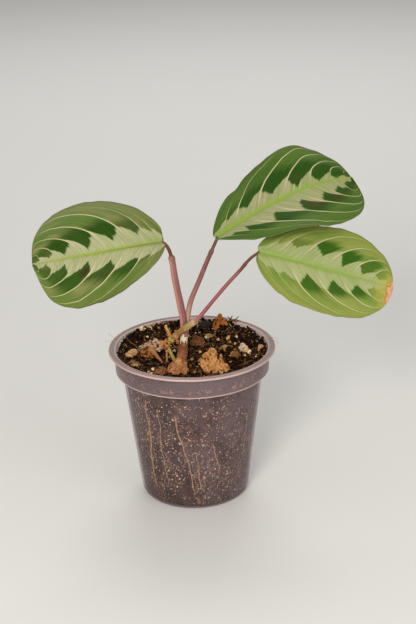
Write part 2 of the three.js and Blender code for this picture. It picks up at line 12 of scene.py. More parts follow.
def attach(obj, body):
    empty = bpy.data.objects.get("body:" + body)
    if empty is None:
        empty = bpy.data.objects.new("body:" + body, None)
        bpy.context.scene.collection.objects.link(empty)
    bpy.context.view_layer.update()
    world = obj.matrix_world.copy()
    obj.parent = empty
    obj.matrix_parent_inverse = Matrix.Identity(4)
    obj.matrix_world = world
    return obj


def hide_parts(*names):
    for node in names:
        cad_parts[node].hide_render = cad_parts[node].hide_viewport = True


bl_info = {
    "name": "Potted prayer plant",
    "version": (1, 0, 0),
    "blender": (4, 5, 0),
    "location": "3D View > Sidebar > Plant",
    "description": "Dresses the packed prayer plant in its nursery pot",
    "category": "Object",
}

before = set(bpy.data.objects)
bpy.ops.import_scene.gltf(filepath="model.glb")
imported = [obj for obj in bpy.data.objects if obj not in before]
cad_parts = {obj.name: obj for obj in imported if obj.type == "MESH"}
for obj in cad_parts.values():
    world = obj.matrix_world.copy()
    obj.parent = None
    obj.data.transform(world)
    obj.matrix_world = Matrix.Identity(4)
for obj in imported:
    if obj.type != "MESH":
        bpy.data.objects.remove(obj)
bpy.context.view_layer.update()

MM = 0.001
BODY = "root"
SEED = 20
FULL_TURN = 2 * math.pi
ABOUT_A_TURN = 6.28
TUBE_STATIONS = 400  # points along a tube's line that its rings are read from

# ---- the part's own sizes, in millimetres -----------------------------------------------------

POT = Sizes(
    height=103, rim_radius=55, lip_inner_radius=50.2, lip_thickness=1.5, collar_radius=51.2,
    collar_foot=88, collar_foot_radius=50.6, body_top_radius=46.5, base_radius=36, base_round=5,
    wall=0.8, floor=1, foot_inner=27.5, pad_radius=12, push_up=2.2, drain_holes=8,
    drain_radius=3.2, drain_circle=20, segments=176, lip_rings=4.5,
)
GAP = 0.3
MIX = Sizes(edge=95.5, mound=1.6, bump=1.1, bank=3.4, back_bank=3.4, columns=300, rows=150)

# Each half of a blade: half width, the powers that shape its outline, fold, and wave phase.
# Its bumps: place along, spread, height.
LEAVES = {
    "left": Sizes(
        base=(-16.4, -8, 178.2), heading=215, climb=4, roll=-53, length=95,
        halves=((31.8, 0.64, 0.39, 0.21, 0), (33.5, 0.45, 0.52, 0.27, 0.37)),
        bumps=(((0.93, 0.03, 0.9), (0.6, 0.08, -0.5)),
               ((0.42, 0.1, -0.7), (0.7, 0.05, 0.5), (0.05, 0.05, -0.8))),
        sway=-2.4, midrib_sway=-0.2, arch=1.8, skew=1.45, curl=0.48, twist=2, lobes=2,
        wave=1.1, wave_start=-0.1, leads=(0, 0.35), fan=0.42, fan_centre=2,
    ),
    "upper": Sizes(
        base=(17.6, 0, 177.4), heading=21, climb=16, roll=21, length=99.7,
        halves=((34.9, 0.6, 0.43, 0.09, 0), (36.3, 0.58, 0.3, -0.02, 0.37)),
        bumps=(((0.28, 0.05, -1.5), (0.41, 0.03, 0.4), (0.56, 0.07, -1.4),
                (0.77, 0.05, 1.7), (0.93, 0.04, -1.8)),
               ((0.03, 0.03, 0.9), (0.24, 0.06, -0.6), (0.88, 0.05, 0.8))),
        sway=-1, midrib_sway=2.2, arch=10.4, skew=-0.26, curl=0, twist=32, lobes=2.4,
        wave=1.8, wave_start=-0.04, leads=(0.06, 0.65), fan=0.42, fan_centre=2,
    ),
    "lower": Sizes(
        base=(43.6, -12, 171.5), heading=-1, climb=-17, roll=40, length=89.7,
        halves=((32.4, 0.53, 0.42, -0.04, 0), (33.1, 0.45, 0.43, -0.02, 0.37)),
        bumps=(((0.8, 0.05, 0.5), (0.92, 0.03, 0.5)), ((0.68, 0.1, -1), (0.3, 0.05, 0.3))),
        sway=-1.1, midrib_sway=1.9, arch=3.7, skew=1.12, curl=0, twist=3, lobes=2,
        wave=1, wave_start=-0.08, leads=(0.2, 0.6), fan=0.3, fan_centre=3,
    ),
}
BLADE = Sizes(thickness=0.7, keel=1.1, groove=0.35, midrib_width=1.6, base_half_width=4.2,
              tip_half_width=0.8, lobe_end=0.06, base_rounding=0.022, columns=144, rows=170)
VEIN_COUNT = 7.2  # side veins of one half, counted to the tip
PHASE_SPAN = (-8, 16)  # lowest vein count and range that the blade's UV map holds
FIRST_CELL = -1  # the cell before the first side vein
# The pattern of each cell between two side veins, left half and right, from base to tip: how far
# on towards the next vein the dark blotch has its inner end, how near the midrib that end and its
# two corners come, how far out the blotch reaches, how dark it is, and how brown.
CELLS = {
    "left": (
        [(0.5, 0.6, 0.6, 0.7, 0, 0), (0.5, 0.48, 0.53, 0.66, 0.3, 0),
         (0.32, 0.37, 0.51, 0.7, 0.95, 0), (0.45, 0.24, 0.47, 0.62, 0.95, 0.15),
         (0.38, 0.13, 0.42, 0.72, 0.9, 0.9), (0.35, 0.12, 0.34, 0.6, 0.8, 0.25),
         (0.4, 0.07, 0.2, 0.5, 0.6, 0), (0.4, 0.03, 0.1, 0.4, 0.5, 0),
         (0.4, 0, 0.05, 0.4, 0.5, 0)],
        [(0.5, 0.4, 0.45, 0.6, 0, 0), (0.5, 0.3, 0.36, 0.5, 0.15, 0),
         (0.48, 0.2, 0.37, 0.52, 0.85, 0), (0.62, 0.13, 0.38, 0.54, 1, 0),
         (0.65, 0.07, 0.37, 0.54, 1, 0), (0.62, 0.06, 0.28, 0.5, 1, 0.2),
         (0.4, 0.08, 0.2, 0.45, 0.8, 0), (0.5, 0.03, 0.1, 0.5, 0.7, 0),
         (0.5, 0, 0.05, 0.5, 0.6, 0)],
    ),
    "upper": (
        [(0.5, 0.4, 0.5, 0.6, 0, 0), (0.5, 0.36, 0.45, 0.6, 0.5, 0),
         (0.5, 0.28, 0.42, 0.62, 0.9, 0), (0.55, 0.18, 0.4, 0.62, 0.95, 0),
         (0.5, 0.07, 0.33, 0.58, 0.95, 0.2), (0.45, 0.02, 0.24, 0.5, 0.9, 0),
         (0.4, 0.02, 0.12, 0.45, 0.8, 0), (0.4, 0, 0.08, 0.4, 0.6, 0),
         (0.4, 0, 0.05, 0.4, 0.5, 0)],
        [(0.5, 0.45, 0.5, 0.7, 0, 0), (0.5, 0.42, 0.52, 0.68, 0.6, 0),
         (0.5, 0.32, 0.55, 0.68, 0.85, 0), (0.7, 0.27, 0.56, 0.66, 0.95, 0),
         (0.72, 0.21, 0.52, 0.62, 0.95, 0.95), (0.62, 0.23, 0.42, 0.56, 0.95, 0.9),
         (0.5, 0.18, 0.3, 0.5, 0.8, 0.1), (0.45, 0.12, 0.18, 0.45, 0.7, 0),
         (0.4, 0.02, 0.08, 0.4, 0.7, 0)],
    ),
    "lower": (
        [(0.5, 0.4, 0.5, 0.6, 0, 0), (0.5, 0.42, 0.52, 0.6, 0.15, 0),
         (0.52, 0.32, 0.51, 0.6, 0.5, 0), (0.62, 0.26, 0.5, 0.62, 1, 0),
         (0.55, 0.13, 0.43, 0.56, 1, 0), (0.5, 0.1, 0.3, 0.62, 0.75, 0),
         (0.5, 0.1, 0.2, 0.4, 0.1, 0), (0.4, 0.05, 0.12, 0.4, 0, 0),
         (0.4, 0.03, 0.1, 0.4, 0, 0)],
        [(0.5, 0.4, 0.5, 0.6, 0, 0), (0.5, 0.42, 0.5, 0.6, 0.05, 0),
         (0.52, 0.38, 0.5, 0.6, 0.1, 0), (0.6, 0.23, 0.5, 0.62, 0.95, 0),
         (0.6, 0.2, 0.46, 0.55, 1, 0), (0.6, 0.17, 0.4, 0.48, 1, 0),
         (0.5, 0.15, 0.25, 0.4, 0.1, 0), (0.4, 0.1, 0.15, 0.4, 0, 0),
         (0.4, 0.1, 0.15, 0.4, 0, 0)],
    ),
}
# The pattern's colours and numbers, what they are on each upper face, and the colours below.
TINTS = ("Outer", "Patch", "Blotch", "Brown", "Pale", "Shade", "Midrib", "Margin")
VALUES = ("Painted groove shade", "Blotch stop", "Seed", "Lime", "Lime foot", "Lime share")
UPPER_FACES = {
    "left": ((84, 112, 32), (126, 128, 70), (30, 66, 2), (54, 36, 10), (178, 172, 138),
             (150, 157, 108), (140, 158, 58), (106, 122, 48), 0.45, 1.3, 1, 0.02, 0.18, 0.52),
    "upper": ((54, 94, 10), (74, 106, 26), (28, 66, 0), (68, 52, 24), (168, 160, 124),
              (136, 146, 90), (130, 158, 54), (72, 102, 28), 0, 1.3, 4, 0.05, 0.22, 0.72),
    "lower": ((114, 138, 50), (142, 150, 70), (36, 84, 6), (36, 80, 8), (172, 170, 126),
              (146, 160, 98), (134, 160, 72), (146, 150, 62), 0, 0.78, 7, 0.06, 0.22, 0.72),
}
UNDERSIDE = {"Patch": (112, 128, 92), "Pale": (150, 160, 124), "Shade": (134, 148, 104),
             "Vein": (162, 166, 128), "Midrib": (160, 176, 104), "Margin": (150, 158, 112)}
# The burnt tip: where it lies along and across its blade, how far on from there its middle is, how
# ragged it is, and its bands from outside in: reach, full strength, colour and share.
BURN = Sizes(blade="lower", at=(0.97, -0.8), on=(11.7, 4), ragged=9, bands=(
    (24, 13, (172, 162, 72), 0.75), (14.4, 12.8, (182, 104, 46), 0.95),
    (13.2, 12, (206, 160, 122), 1)))

# Each petiole's line, radii at foot and top, and the narrow joint (pulvinus) under its blade;
# then its colours from foot to top, its streaks, and the turn, width, end and colour of a stripe.
PETIOLES = {
    "left": Sizes(
        points=[(-4.7, -9.2, 112), (-4.9, -8.6, 124.5), (-6.4, -8, 134.1), (-8.3, -7.4, 145),
                (-9.9, -7, 155.1), (-10.9, -6.8, 164), (-11.8, -6.9, 168.9),
                (-13.1, -7.2, 173), (-15, -7.6, 176.2)],
        radii=(2.5, 1.9), joint=1.15, joint_length=12, shoot="shoot_main", seed=9,
        stops=((0, 160, 112, 108), (0.08, 128, 76, 80), (0.5, 130, 78, 78), (0.74, 140, 92, 84),
               (0.815, 128, 86, 62), (0.84, 82, 54, 28), (1, 94, 62, 32)),
        streak=(158, 108, 102), stripe=(0.12, 0.12, 0.84, (182, 134, 116)),
    ),
    "upper": Sizes(
        points=[(-4.4, -8.8, 112), (-3.1, -7.6, 121.5), (-1.7, -6.8, 129.4),
                (0.3, -5.8, 137.3), (5.7, -3.7, 149.4), (11.6, -1.6, 162.9),
                (14.9, -0.6, 169.9)],
        radii=(1.9, 1.35), joint=1.05, joint_length=9, shoot="shoot_main", seed=10,
        stops=((0, 208, 194, 156), (0.12, 204, 184, 150), (0.2, 186, 150, 128),
               (0.35, 146, 100, 92), (0.5, 124, 76, 72), (0.7, 112, 64, 62),
               (0.84, 100, 56, 46), (0.9, 82, 50, 28), (1, 94, 62, 32)),
        streak=(168, 122, 108), stripe=(0.85, 0.12, 0.5, (190, 152, 128)),
    ),
    "lower": Sizes(
        points=[(-12.4, -12.4, 113.8), (-7.4, -13.2, 118.4), (-1.5, -13.6, 122.9),
                (3.8, -13.6, 126.9), (14.6, -13.4, 139.7), (23.4, -12.8, 149.9),
                (32.1, -12.2, 159.3), (38.4, -12, 166.6)],
        radii=(1.3, 1.1), joint=0.95, joint_length=11, shoot="shoot_side", seed=10,
        stops=((0, 134, 108, 60), (0.22, 180, 142, 126), (0.27, 164, 102, 102),
               (0.34, 132, 58, 68), (0.62, 124, 56, 62), (0.8, 100, 54, 42),
               (0.88, 80, 50, 28), (1, 94, 62, 32)),
        streak=(156, 92, 92), stripe=(0.2, 0.1, 0.8, (152, 90, 84)),
    ),
}
STEM = [(-7.4, -14, 78), (-7.2, -13, 92), (-6.2, -10.6, 103), (-5, -9.2, 113), (-4.7, -8.8, 119)]
STEM_RADII = (2.1, 2.6)
SIDE_STALK = [(-11.4, -14.6, 80), (-11.2, -14.4, 97), (-14.2, -13, 104.6), (-15.4, -12.6, 108.4),
              (-13, -12.4, 113.4)]
SIDE_STALK_RADII = (1.3, 1.1)
# Papery bracts round the node: the line down each one's middle, and its half width and depth.
BRACTS = [
    ([(-14.4, -12.2, 113.4), (-16.4, -12.6, 111.2), (-18.2, -12.6, 109), (-19.6, -12.4, 107)],
     2.5, 1.1),
    ([(-14.6, -13.4, 112.2), (-16, -13.8, 109.4), (-16.3, -13.6, 106.4)], 1.3, 0.6),
    ([(-11.6, -13.8, 113.2), (-9.9, -14.2, 114.6), (-8.6, -13.6, 116)], 1.3, 0.5),
    ([(-9.6, -12.8, 113.4), (-9.2, -13.8, 111.8), (-9.6, -14, 110.2)], 0.8, 0.4),
]
DEAD_STALKS = [
    ([(-16.2, -13.4, 90), (-16.4, -12.8, 99), (-15.9, -12.3, 108.4), (-13.4, -12.2, 113)],
     0.6, 0.7),
    ([(-12.8, -12.2, 112.8), (-14.2, -12, 116), (-15.6, -11.9, 119.4), (-16.9, -11.8, 123)],
     1.5, 0.75),
]
# Dry sheaths: the shares of the stalk they cover, how far they stand off it along the way, and
# how ragged the far edge is.
MAIN_SHEATH = Sizes(start=0.42, end=0.77, jag=0.03, seed=3,
                    proud=([0, 0.25, 0.6, 1], [1.8, 0.7, 0.3, 0.2]))
SIDE_SHEATH = Sizes(start=0.03, end=0.235, jag=0.006, seed=6,
                    proud=([0, 0.1, 0.42, 0.5, 0.58, 0.85, 1],
                           [0.5, 0.3, 0.25, 0.85, 0.4, 0.55, 0.35]))

# Lumps: centre, radii and turn in degrees.
NODE_KNOB = ((-12.6, -12.3, 113), (2.4, 2.1, 2.6), 0)
BARK_LUMPS = {
    "bark_front_left": ((-9.4, -26.6, 97.4), (6.2, 5.2, 7.8), 12),
    "bark_middle": ((4.2, 17, 97.6), (4.8, 3.6, 5.4), 40),
    "bark_right": ((28, -5, 96.4), (3.6, 3, 3.2), 15),
    "bark_edge_left": ((-38, -13.5, 96.2), (4.6, 3.4, 2.6), -35),
    "bark_front_rim": ((-20.6, -28, 96.4), (4.6, 3.8, 3.6), 20),
}
PERLITE_LUMPS = {
    "perlite_right": ((34.6, 6, 97.8), (4, 4.4, 3.6), 20),
    "perlite_edge_right": ((45.6, 3.4, 98.6), (2.7, 2.2, 2.4), 50),
    "perlite_left": ((-40, 0.8, 98), (5.2, 3.4, 2.4), 25),
}
# Loose bits of bark and stone that the photograph shows between them.
LOOSE_BITS = {
    "stone_back": ((9.4, 42.4, 100.4), (5, 2.4, 2.6), 5),
    "bit_back": ((4.4, 45, 102), (2.6, 1.2, 1.4), 10),
    "bit_back_right": ((27.4, 38.6, 101), (2.4, 1.4, 1.4), -30),
    "bit_left": ((-37.4, -17.6, 97.4), (2.6, 1.6, 1.5), -30),
    "bit_middle": ((11.4, 27.6, 98), (2.6, 1.8, 1.8), 30),
    "bit_front": ((21.4, 8.6, 97.6), (2.6, 1.1, 1.2), 50),
}
# Broken flakes: outline, where the foot stands, lean in degrees and thickness.
BARK_FLAKES = {
    "bark_front_right": Sizes(
        outline=[(9, -1.5), (17.5, -2.2), (22, 0), (24, 2.9), (22.7, 5.6), (19.9, 7),
                 (19.3, 11.1), (18.4, 13.2), (17.2, 8.4), (16.2, 8.5), (15.6, 14),
                 (12.6, 17.3), (9.2, 14), (5.8, 11.4), (3.7, 8.8), (5.6, 4.6)],
        foot=(0, -27, 94), lean=55, thickness=4.6),
    "bark_back": Sizes(
        outline=[(14, -2), (24.2, -2), (24.6, 7.1), (22.9, 10.3), (20.9, 13.9), (19.2, 14.4),
                 (16.7, 10.9), (14.5, 7.7)],
        foot=(0, 41, 94), lean=82, thickness=2.4),
}
# The dead leaf: each fold's centre, length, half width, turn, tilt and curl; and its stalk.
DEAD_FOLDS = [
    ((-24, 5.4, 100.8), 15, 4.2, -6, 50, 1.8),
    ((-28.4, -0.6, 98.6), 11, 4, 12, 46, 1.4),
    ((-31.8, 5.4, 100), 8, 2.4, 34, 64, 1.2),
    ((-26.6, 7.4, 101.4), 9, 2, -24, 70, 0.8),
]
DEAD_LEAF_STALK = [(-28.4, 3, 100.6), (-26, -1.4, 100.4), (-22.8, -7.4, 99.2), (-19.4, -13.4, 97)]
DEAD_LEAF_STALK_RADII = (1.7, 0.7)
# Roots along the wall: angle in degrees and height of the points each passes, and its radius.
ROOTS = {
    "root_1": ([(-124, 80), (-122.6, 61), (-123.6, 47), (-121, 30), (-117, 9)], 0.3),
    "root_2": ([(-107, 75), (-106.4, 63), (-102.4, 52), (-98.6, 41.5), (-93.6, 29), (-91.8, 18),
                (-89, 10)], 0.52),
    "root_3": ([(-89, 46), (-87.8, 37), (-85.5, 27), (-84, 18), (-80.6, 10.5)], 0.48),
    "root_4": ([(-73, 50), (-69.6, 42), (-67.4, 35), (-65, 24)], 0.42),
    "root_5": ([(-30, 72), (-38, 14)], 0.22),
    "root_6": ([(20, 76), (34, 12)], 0.4),
    "root_7": ([(98, 66), (108, 9)], 0.5),
    "root_8": ([(160, 74), (152, 16)], 0.4),
    "root_left": ([(-135.6, 82), (-136, 69), (-134.2, 52), (-136.5, 39), (-137.2, 23),
                   (-136.8, 7.5)], 0.52),
}
UNPACKED = ("root_left",)  # stands for no node of the frame
# Loose crumbs and grains: how far out they lie, least and largest radius, how much of each is
# sunk, and how rare the large ones are.
DARK_CRUMBS = (49, 0.35, 1.6, 0.3, 2)
TAN_CRUMBS = (48.8, 0.2, 1.3, 0.1, 3.4)
WHITE_GRAINS = (48, 0.3, 0.95, 0.15, 2.4)
DARK_SHARE, TAN_SHARE = 0.72, 0.28
# The larger grains that the photograph shows: where each lies, and its radius.
GRAINS = [
    ((46.6, 14, 100.4), 1.3), ((-34.2, 35, 101.8), 1.3), ((-28.8, 37, 102), 1.5),
    ((-27.6, 36, 101.6), 1), ((-35.2, 34, 101.4), 0.9), ((37.8, -3.8, 98), 0.9),
    ((36.4, 1, 98), 1.2), ((37.6, -1.4, 98), 1), ((34.6, -6.4, 97.8), 0.8),
    ((9.6, 25, 98.4), 0.8), ((24.4, 22.8, 98.4), 1.1), ((30.4, 24, 98.6), 0.8),
    ((-23, 13.6, 98.6), 1), ((-44.6, 11.6, 99), 0.8), ((-11.6, 3.4, 98.2), 1),
    ((-25.4, -24.6, 97.8), 0.9), ((17.6, 20.6, 98.2), 0.8),
]
FIBRES = Sizes(spread=45, limit=48.5, lengths=(3, 12), bend=0.6, lift=0.35, arch=1.5,
               radii=(0.09, 0.2))
# Fine fibres that hang over the lip, left and right.
RIM_FIBRES = [
    [(-47.5, 8, 97), (-51.5, 9, 102.5), (-54, 9.5, 104), (-57.5, 10, 103.2)],
    [(-48, 13, 97), (-51, 15, 102.8), (-53.6, 17, 104.6), (-56, 18.5, 106)],
    [(47.8, 2, 97), (51.5, 3, 102.6), (54.5, 3.6, 103.8), (57.2, 3, 101.4)],
    [(47.5, 7, 97), (52, 8, 103), (55, 8.5, 103.6), (58, 8, 102.4)],
]
# Small sticks on the mix: line, radius and tone.
TWIGS = [
    ([(19, 11, 97.2), (23, 10, 98.2), (27.5, 9.4, 97.6)], 0.4, 0.8),
    ([(25.6, 42, 99), (26.2, 43.4, 102.4), (28.4, 44.6, 105.6)], 0.5, 0.3),
    ([(29, 41, 99), (29.4, 42.2, 102.5), (32.6, 42.6, 105.8)], 0.42, 0.35),
    ([(24.6, 42.4, 101.6), (29.6, 42.2, 103.6), (34.8, 40.6, 102.6)], 0.4, 0.2),
    ([(23.6, 43, 101), (26.4, 42, 103), (31.6, 39.6, 102.6)], 0.5, 0.45),
    ([(27, 42.6, 100), (27.2, 43.4, 103), (25, 44.4, 105.4)], 0.4, 0.2),
    ([(22, 33, 97.4), (28, 31, 98.8), (35, 27.5, 98)], 0.36, 0.3),
    ([(30, 36, 98.4), (33, 30, 99), (38, 25.6, 98.6)], 0.3, 0.4),
    ([(-30, 20, 96.8), (-25, 23, 98), (-19, 24.4, 97.4)], 0.3, 0.7),
    ([(12, -14, 97.4), (16, -12.6, 98.4), (20.4, -12.8, 97.5)], 0.3, 0.6),
    ([(-22, 43.6, 101), (-18.6, 45.2, 102.4), (-14, 46.4, 101.6)], 0.6, 0.5),
    ([(40, -12, 96.4), (37, -16, 97.6), (33, -19, 97)], 0.34, 0.65),
]

# Rough lumps: colours from painted shadow to painted light, grain in millimetres, how dark the
# painted shade in the pits is, then roughness and bump where they differ.
LUMP_LOOKS = {
    "Bark": (((0, 66, 40, 22), (0.4, 112, 72, 42), (0.6, 148, 98, 58), (1, 190, 140, 90)),
             1.5, 0.7),
    "Dry corm": (((0, 84, 44, 22), (0.36, 148, 92, 54), (0.58, 190, 132, 86),
                  (0.9, 226, 178, 132)), 1.3, 0.65),
    "Orange bark": (((0, 112, 62, 26), (0.4, 160, 94, 42), (0.6, 188, 118, 58),
                     (1, 214, 156, 94)), 1.6, 0.25),
    "Olive bark": (((0, 96, 74, 44), (0.4, 148, 120, 76), (0.6, 184, 156, 108),
                    (1, 218, 200, 156)), 1.3, 0.5),
    "Light bark": (((0, 84, 44, 22), (0.34, 148, 92, 48), (0.52, 190, 136, 82),
                    (0.72, 222, 178, 122), (1, 246, 218, 172)), 1.5, 0.85),
    "Stone": (((0, 30, 26, 26), (0.5, 56, 50, 48), (1, 96, 84, 76)), 1.5, 0.3),
    "Cream perlite": (((0, 96, 60, 34), (0.35, 168, 122, 78), (0.6, 214, 174, 122),
                       (1, 246, 222, 172)), 1.2, 0.6),
    "Perlite": (((0, 136, 98, 72), (0.35, 196, 162, 132), (0.6, 226, 202, 174),
                 (1, 244, 230, 208)), 1.3, 0.8),
    "Dead leaf": (((0, 120, 80, 54), (0.3, 176, 134, 104), (0.5, 212, 178, 148),
                   (1, 240, 222, 200)), 2, 0, 0.75, 0.4),
    "Dead leaf fold": (((0, 104, 58, 26), (0.4, 160, 100, 50), (0.65, 190, 134, 78),
                        (1, 222, 178, 124)), 2, 0.1, 0.75, 0.4),
    "Olive node": (((0, 110, 92, 40), (0.45, 158, 140, 66), (0.7, 190, 164, 92),
                    (1, 206, 150, 84)), 1.4, 0.3, 0.6, 0.4),
    "Dry bract": (((0, 112, 62, 28), (0.4, 166, 106, 54), (0.65, 200, 144, 88),
                   (1, 234, 198, 150)), 1.2, 0.15, 0.8, 0.5),
}
# Stalks: colours along the length, streaks, how many streaks there are around and along, seed,
# then roughness and bump where they differ.
STALK_LOOKS = {
    "Root": (((0, 168, 128, 84), (0.5, 194, 152, 98), (1, 158, 118, 72)), (222, 184, 130),
             3, 30, 0, 0.7),
    "Stem": (((0, 150, 110, 60), (0.7, 176, 146, 90), (0.8, 212, 196, 160), (0.9, 216, 200, 172),
              (1, 190, 150, 130)), (230, 220, 196), 4, 6, 2),
    "Side stalk": (((0, 96, 74, 40), (0.7, 150, 128, 62), (1, 168, 146, 74)), (188, 160, 96),
                   4, 12, 0),
    "Dry stalk": (((0, 136, 84, 38), (0.6, 170, 112, 58), (1, 196, 144, 88)), (220, 176, 122),
                  4, 12, 3, 0.7, 0.4),
    "Main sheath": (((0, 160, 104, 62), (0.35, 138, 82, 46), (0.7, 112, 62, 32), (1, 94, 50, 26)),
                    (206, 152, 102), 8, 7, 1, 0.8, 1),
    "Side sheath": (((0, 190, 138, 84), (0.14, 120, 86, 42), (0.4, 140, 98, 50),
                     (0.48, 180, 104, 44), (0.56, 140, 116, 68), (0.8, 158, 138, 94),
                     (1, 190, 160, 130)), (194, 158, 104), 8, 5, 5, 0.6, 0.6),
    "Dead leaf stalk": (((0, 176, 122, 74), (0.5, 158, 98, 46), (1, 130, 74, 34)),
                        (206, 150, 98), 4, 8, 7, 0.75),
}
# Many small bits, each with its own tone: colours from dark to light, grain and roughness.
BROWN = ((0, 58, 32, 20), (0.5, 112, 66, 38), (0.85, 160, 104, 60), (1, 196, 150, 98))
TONED_LOOKS = {
    "crumbs dark": (((0, 10, 5, 3), (0.55, 22, 12, 6), (0.82, 54, 31, 15), (1, 96, 57, 29)),
                    0.5, 0.8),
    "crumbs tan": (((0, 66, 37, 16), (0.45, 108, 65, 30), (0.8, 162, 112, 58),
                    (1, 222, 180, 112)), 0.5, 0.8),
    "grains white": (((0, 150, 106, 60), (0.45, 210, 174, 118), (0.85, 226, 198, 148),
                      (1, 236, 218, 184)), 0.6, 0.8),
    "Coir fibres": (BROWN, 0.6, 0.7),
    "Twigs": (BROWN, 0.8, 0.8),
}


def srgb(red, green, blue):
    """A colour given as 0 to 255 in a picture's own steps, as Blender's linear values."""
    steps = [value / 255 for value in (red, green, blue)]
    linear = [s / 12.92 if s <= 0.04045 else ((s + 0.055) / 1.055) ** 2.4 for s in steps]
    return tuple(linear)


def shaded(tint, factor):
    return tuple(min(1.0, value * factor) for value in tint)


def colour_property(name, description, rgb):
    return FloatVectorProperty(name=name, description=description, subtype="COLOR", min=0, max=1,
                               default=srgb(*rgb))


def length_property(name, description, millimetres):
    return FloatProperty(name=name, description=description, unit="LENGTH",
                         default=millimetres * MM)


def share_property(name, description, share):
    return FloatProperty(name=name, description=description, subtype="FACTOR", min=0, max=1,
                         default=share)


class PotSettings(bpy.types.PropertyGroup):
    plastic: colour_property("Plastic", "Colour of the see-through plastic", (146, 124, 128))
    rim: colour_property("Rim", "Colour of the thicker lip", (164, 140, 134))
    haze: share_property("Haze", "How much one face of the wall hides", 0.16)
    collar_haze: share_property("Collar haze", "How much one face of the collar hides", 0.34)
    rim_haze: share_property("Rim haze", "How much one face of the lip hides", 0.88)
    lip_ridge: length_property("Lip ridge", "Height of the fine rings on the lip", 0.14)


class LeafSettings(bpy.types.PropertyGroup):
    quilt: length_property("Quilting", "How far the blade swells between veins", 0.55)
    vein: colour_property("Veins", "Colour of the side veins", (196, 188, 142))
    underside: colour_property("Underside", "Colour of the lower face", (128, 142, 104))


class MixSettings(bpy.types.PropertyGroup):
    soil: colour_property("Mix", "Colour of the moist mix", (20, 12, 7))
    crumbs: IntProperty(name="Crumbs", description="Loose crumbs on the mix", default=2600)
    grains: IntProperty(name="Grains", description="Small white grains on the mix", default=39)
    fibres: IntProperty(name="Fibres", description="Coir fibres on the mix", default=170)


class StageSettings(bpy.types.PropertyGroup):
    floor: colour_property("Floor", "Colour of the floor", (222, 220, 216))
    lens: FloatProperty(name="Lens", description="Camera lens in millimetres", default=85)


# ---- making meshes ----------------------------------------------------------------------------


def deselect():
    bpy.ops.object.select_all(action="DESELECT")


def activate(piece):
    deselect()
    piece.select_set(True)
    bpy.context.view_layer.objects.active = piece


def named(name):
    """The new primitive, under its own name."""
    piece = bpy.context.object
    piece.name = piece.data.name = name
    return piece


def read_points(piece):
    points = np.empty(len(piece.data.vertices) * 3)
    piece.data.vertices.foreach_get("co", points)
    return points.reshape(-1, 3)


def write_points(piece, points):
    """Places the vertices, given in millimetres."""
    piece.data.vertices.foreach_set("co", np.ascontiguousarray(points * MM).ravel())
    piece.data.update()


def grid_piece(name, columns, rows):
    """A grid to be shaped, and for each vertex its share across and its share up."""
    deselect()
    bpy.ops.mesh.primitive_grid_add(x_subdivisions=columns, y_subdivisions=rows, size=2)
    piece = named(name)
    flat = (read_points(piece)[:, :2] + 1) / 2
    return piece, flat[:, 0], flat[:, 1]


def close_up(piece, merge=0.0005):
    """Joins the seam and poles of a closed skin, and turns its faces outwards."""
    activate(piece)
    bpy.ops.object.mode_set(mode="EDIT")
    bpy.ops.mesh.select_all(action="SELECT")
    bpy.ops.mesh.remove_doubles(threshold=merge * MM)
    bpy.ops.mesh.normals_make_consistent(inside=False)
    bpy.ops.object.mode_set(mode="OBJECT")
    bpy.ops.object.shade_smooth()


def apply_modifier(piece, kind, **settings):
    activate(piece)
    modifier = piece.modifiers.new(kind.title(), kind)
    for key, value in settings.items():
        setattr(modifier, key, value)
    bpy.ops.object.modifier_apply(modifier=modifier.name)


def set_in(piece, slot, materials, *nodes):
    """Gives a piece its materials, and its place in the frame."""
    if piece.data.materials:  # clearing also puts every face back to the first material
        piece.data.materials.clear()
    for material in materials if isinstance(materials, list) else [materials]:
        piece.data.materials.append(material)
    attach(piece, BODY)
    if nodes:
        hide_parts(*nodes)


def lerp(low, high, share):
    return low + (high - low) * share


def between(pair):
    """A stalk's radius from the first of the pair at its foot to the second at its top."""
    return lambda along, around: lerp(*pair, along)


def smooth(value, low, high):
    share = np.clip((np.asarray(value, float) - low) / (high - low), 0, 1)
    return share * share * (3 - 2 * share)


def smooth_path(points, count, steps=16):
    """Points evenly spaced on one smooth line through those given, and the line's length."""
    given = [Vector(point) for point in points]
    ends = [2 * given[0] - given[1], *given, 2 * given[-1] - given[-2]]
    line = []
    for before, start, end, after in zip(ends, ends[1:], ends[2:], ends[3:]):
        gaps = [(b - a).length ** 0.5 for a, b in ((before, start), (start, end), (end, after))]
        leave = (start - before) / gaps[0] - (end - before) / (gaps[0] + gaps[1])
        leave = (leave + (end - start) / gaps[1]) * gaps[1]
        arrive = (end - start) / gaps[1] - (after - start) / (gaps[1] + gaps[2])
        arrive = (arrive + (after - end) / gaps[2]) * gaps[1]
        for step in range(steps):
            t = step / steps
            bend = (2 * t**3 - 3 * t**2 + 1) * start + (3 * t**2 - 2 * t**3) * end
            line.append(bend + (t**3 - 2 * t**2 + t) * leave + (t**3 - t**2) * arrive)
    line = np.array([*line, given[-1]])
    run = np.concatenate([[0], np.cumsum(np.linalg.norm(np.diff(line, axis=0), axis=1))])
    even = np.linspace(0, run[-1], count)
    return np.stack([np.interp(even, run, line[:, axis]) for axis in range(3)], 1), run[-1]


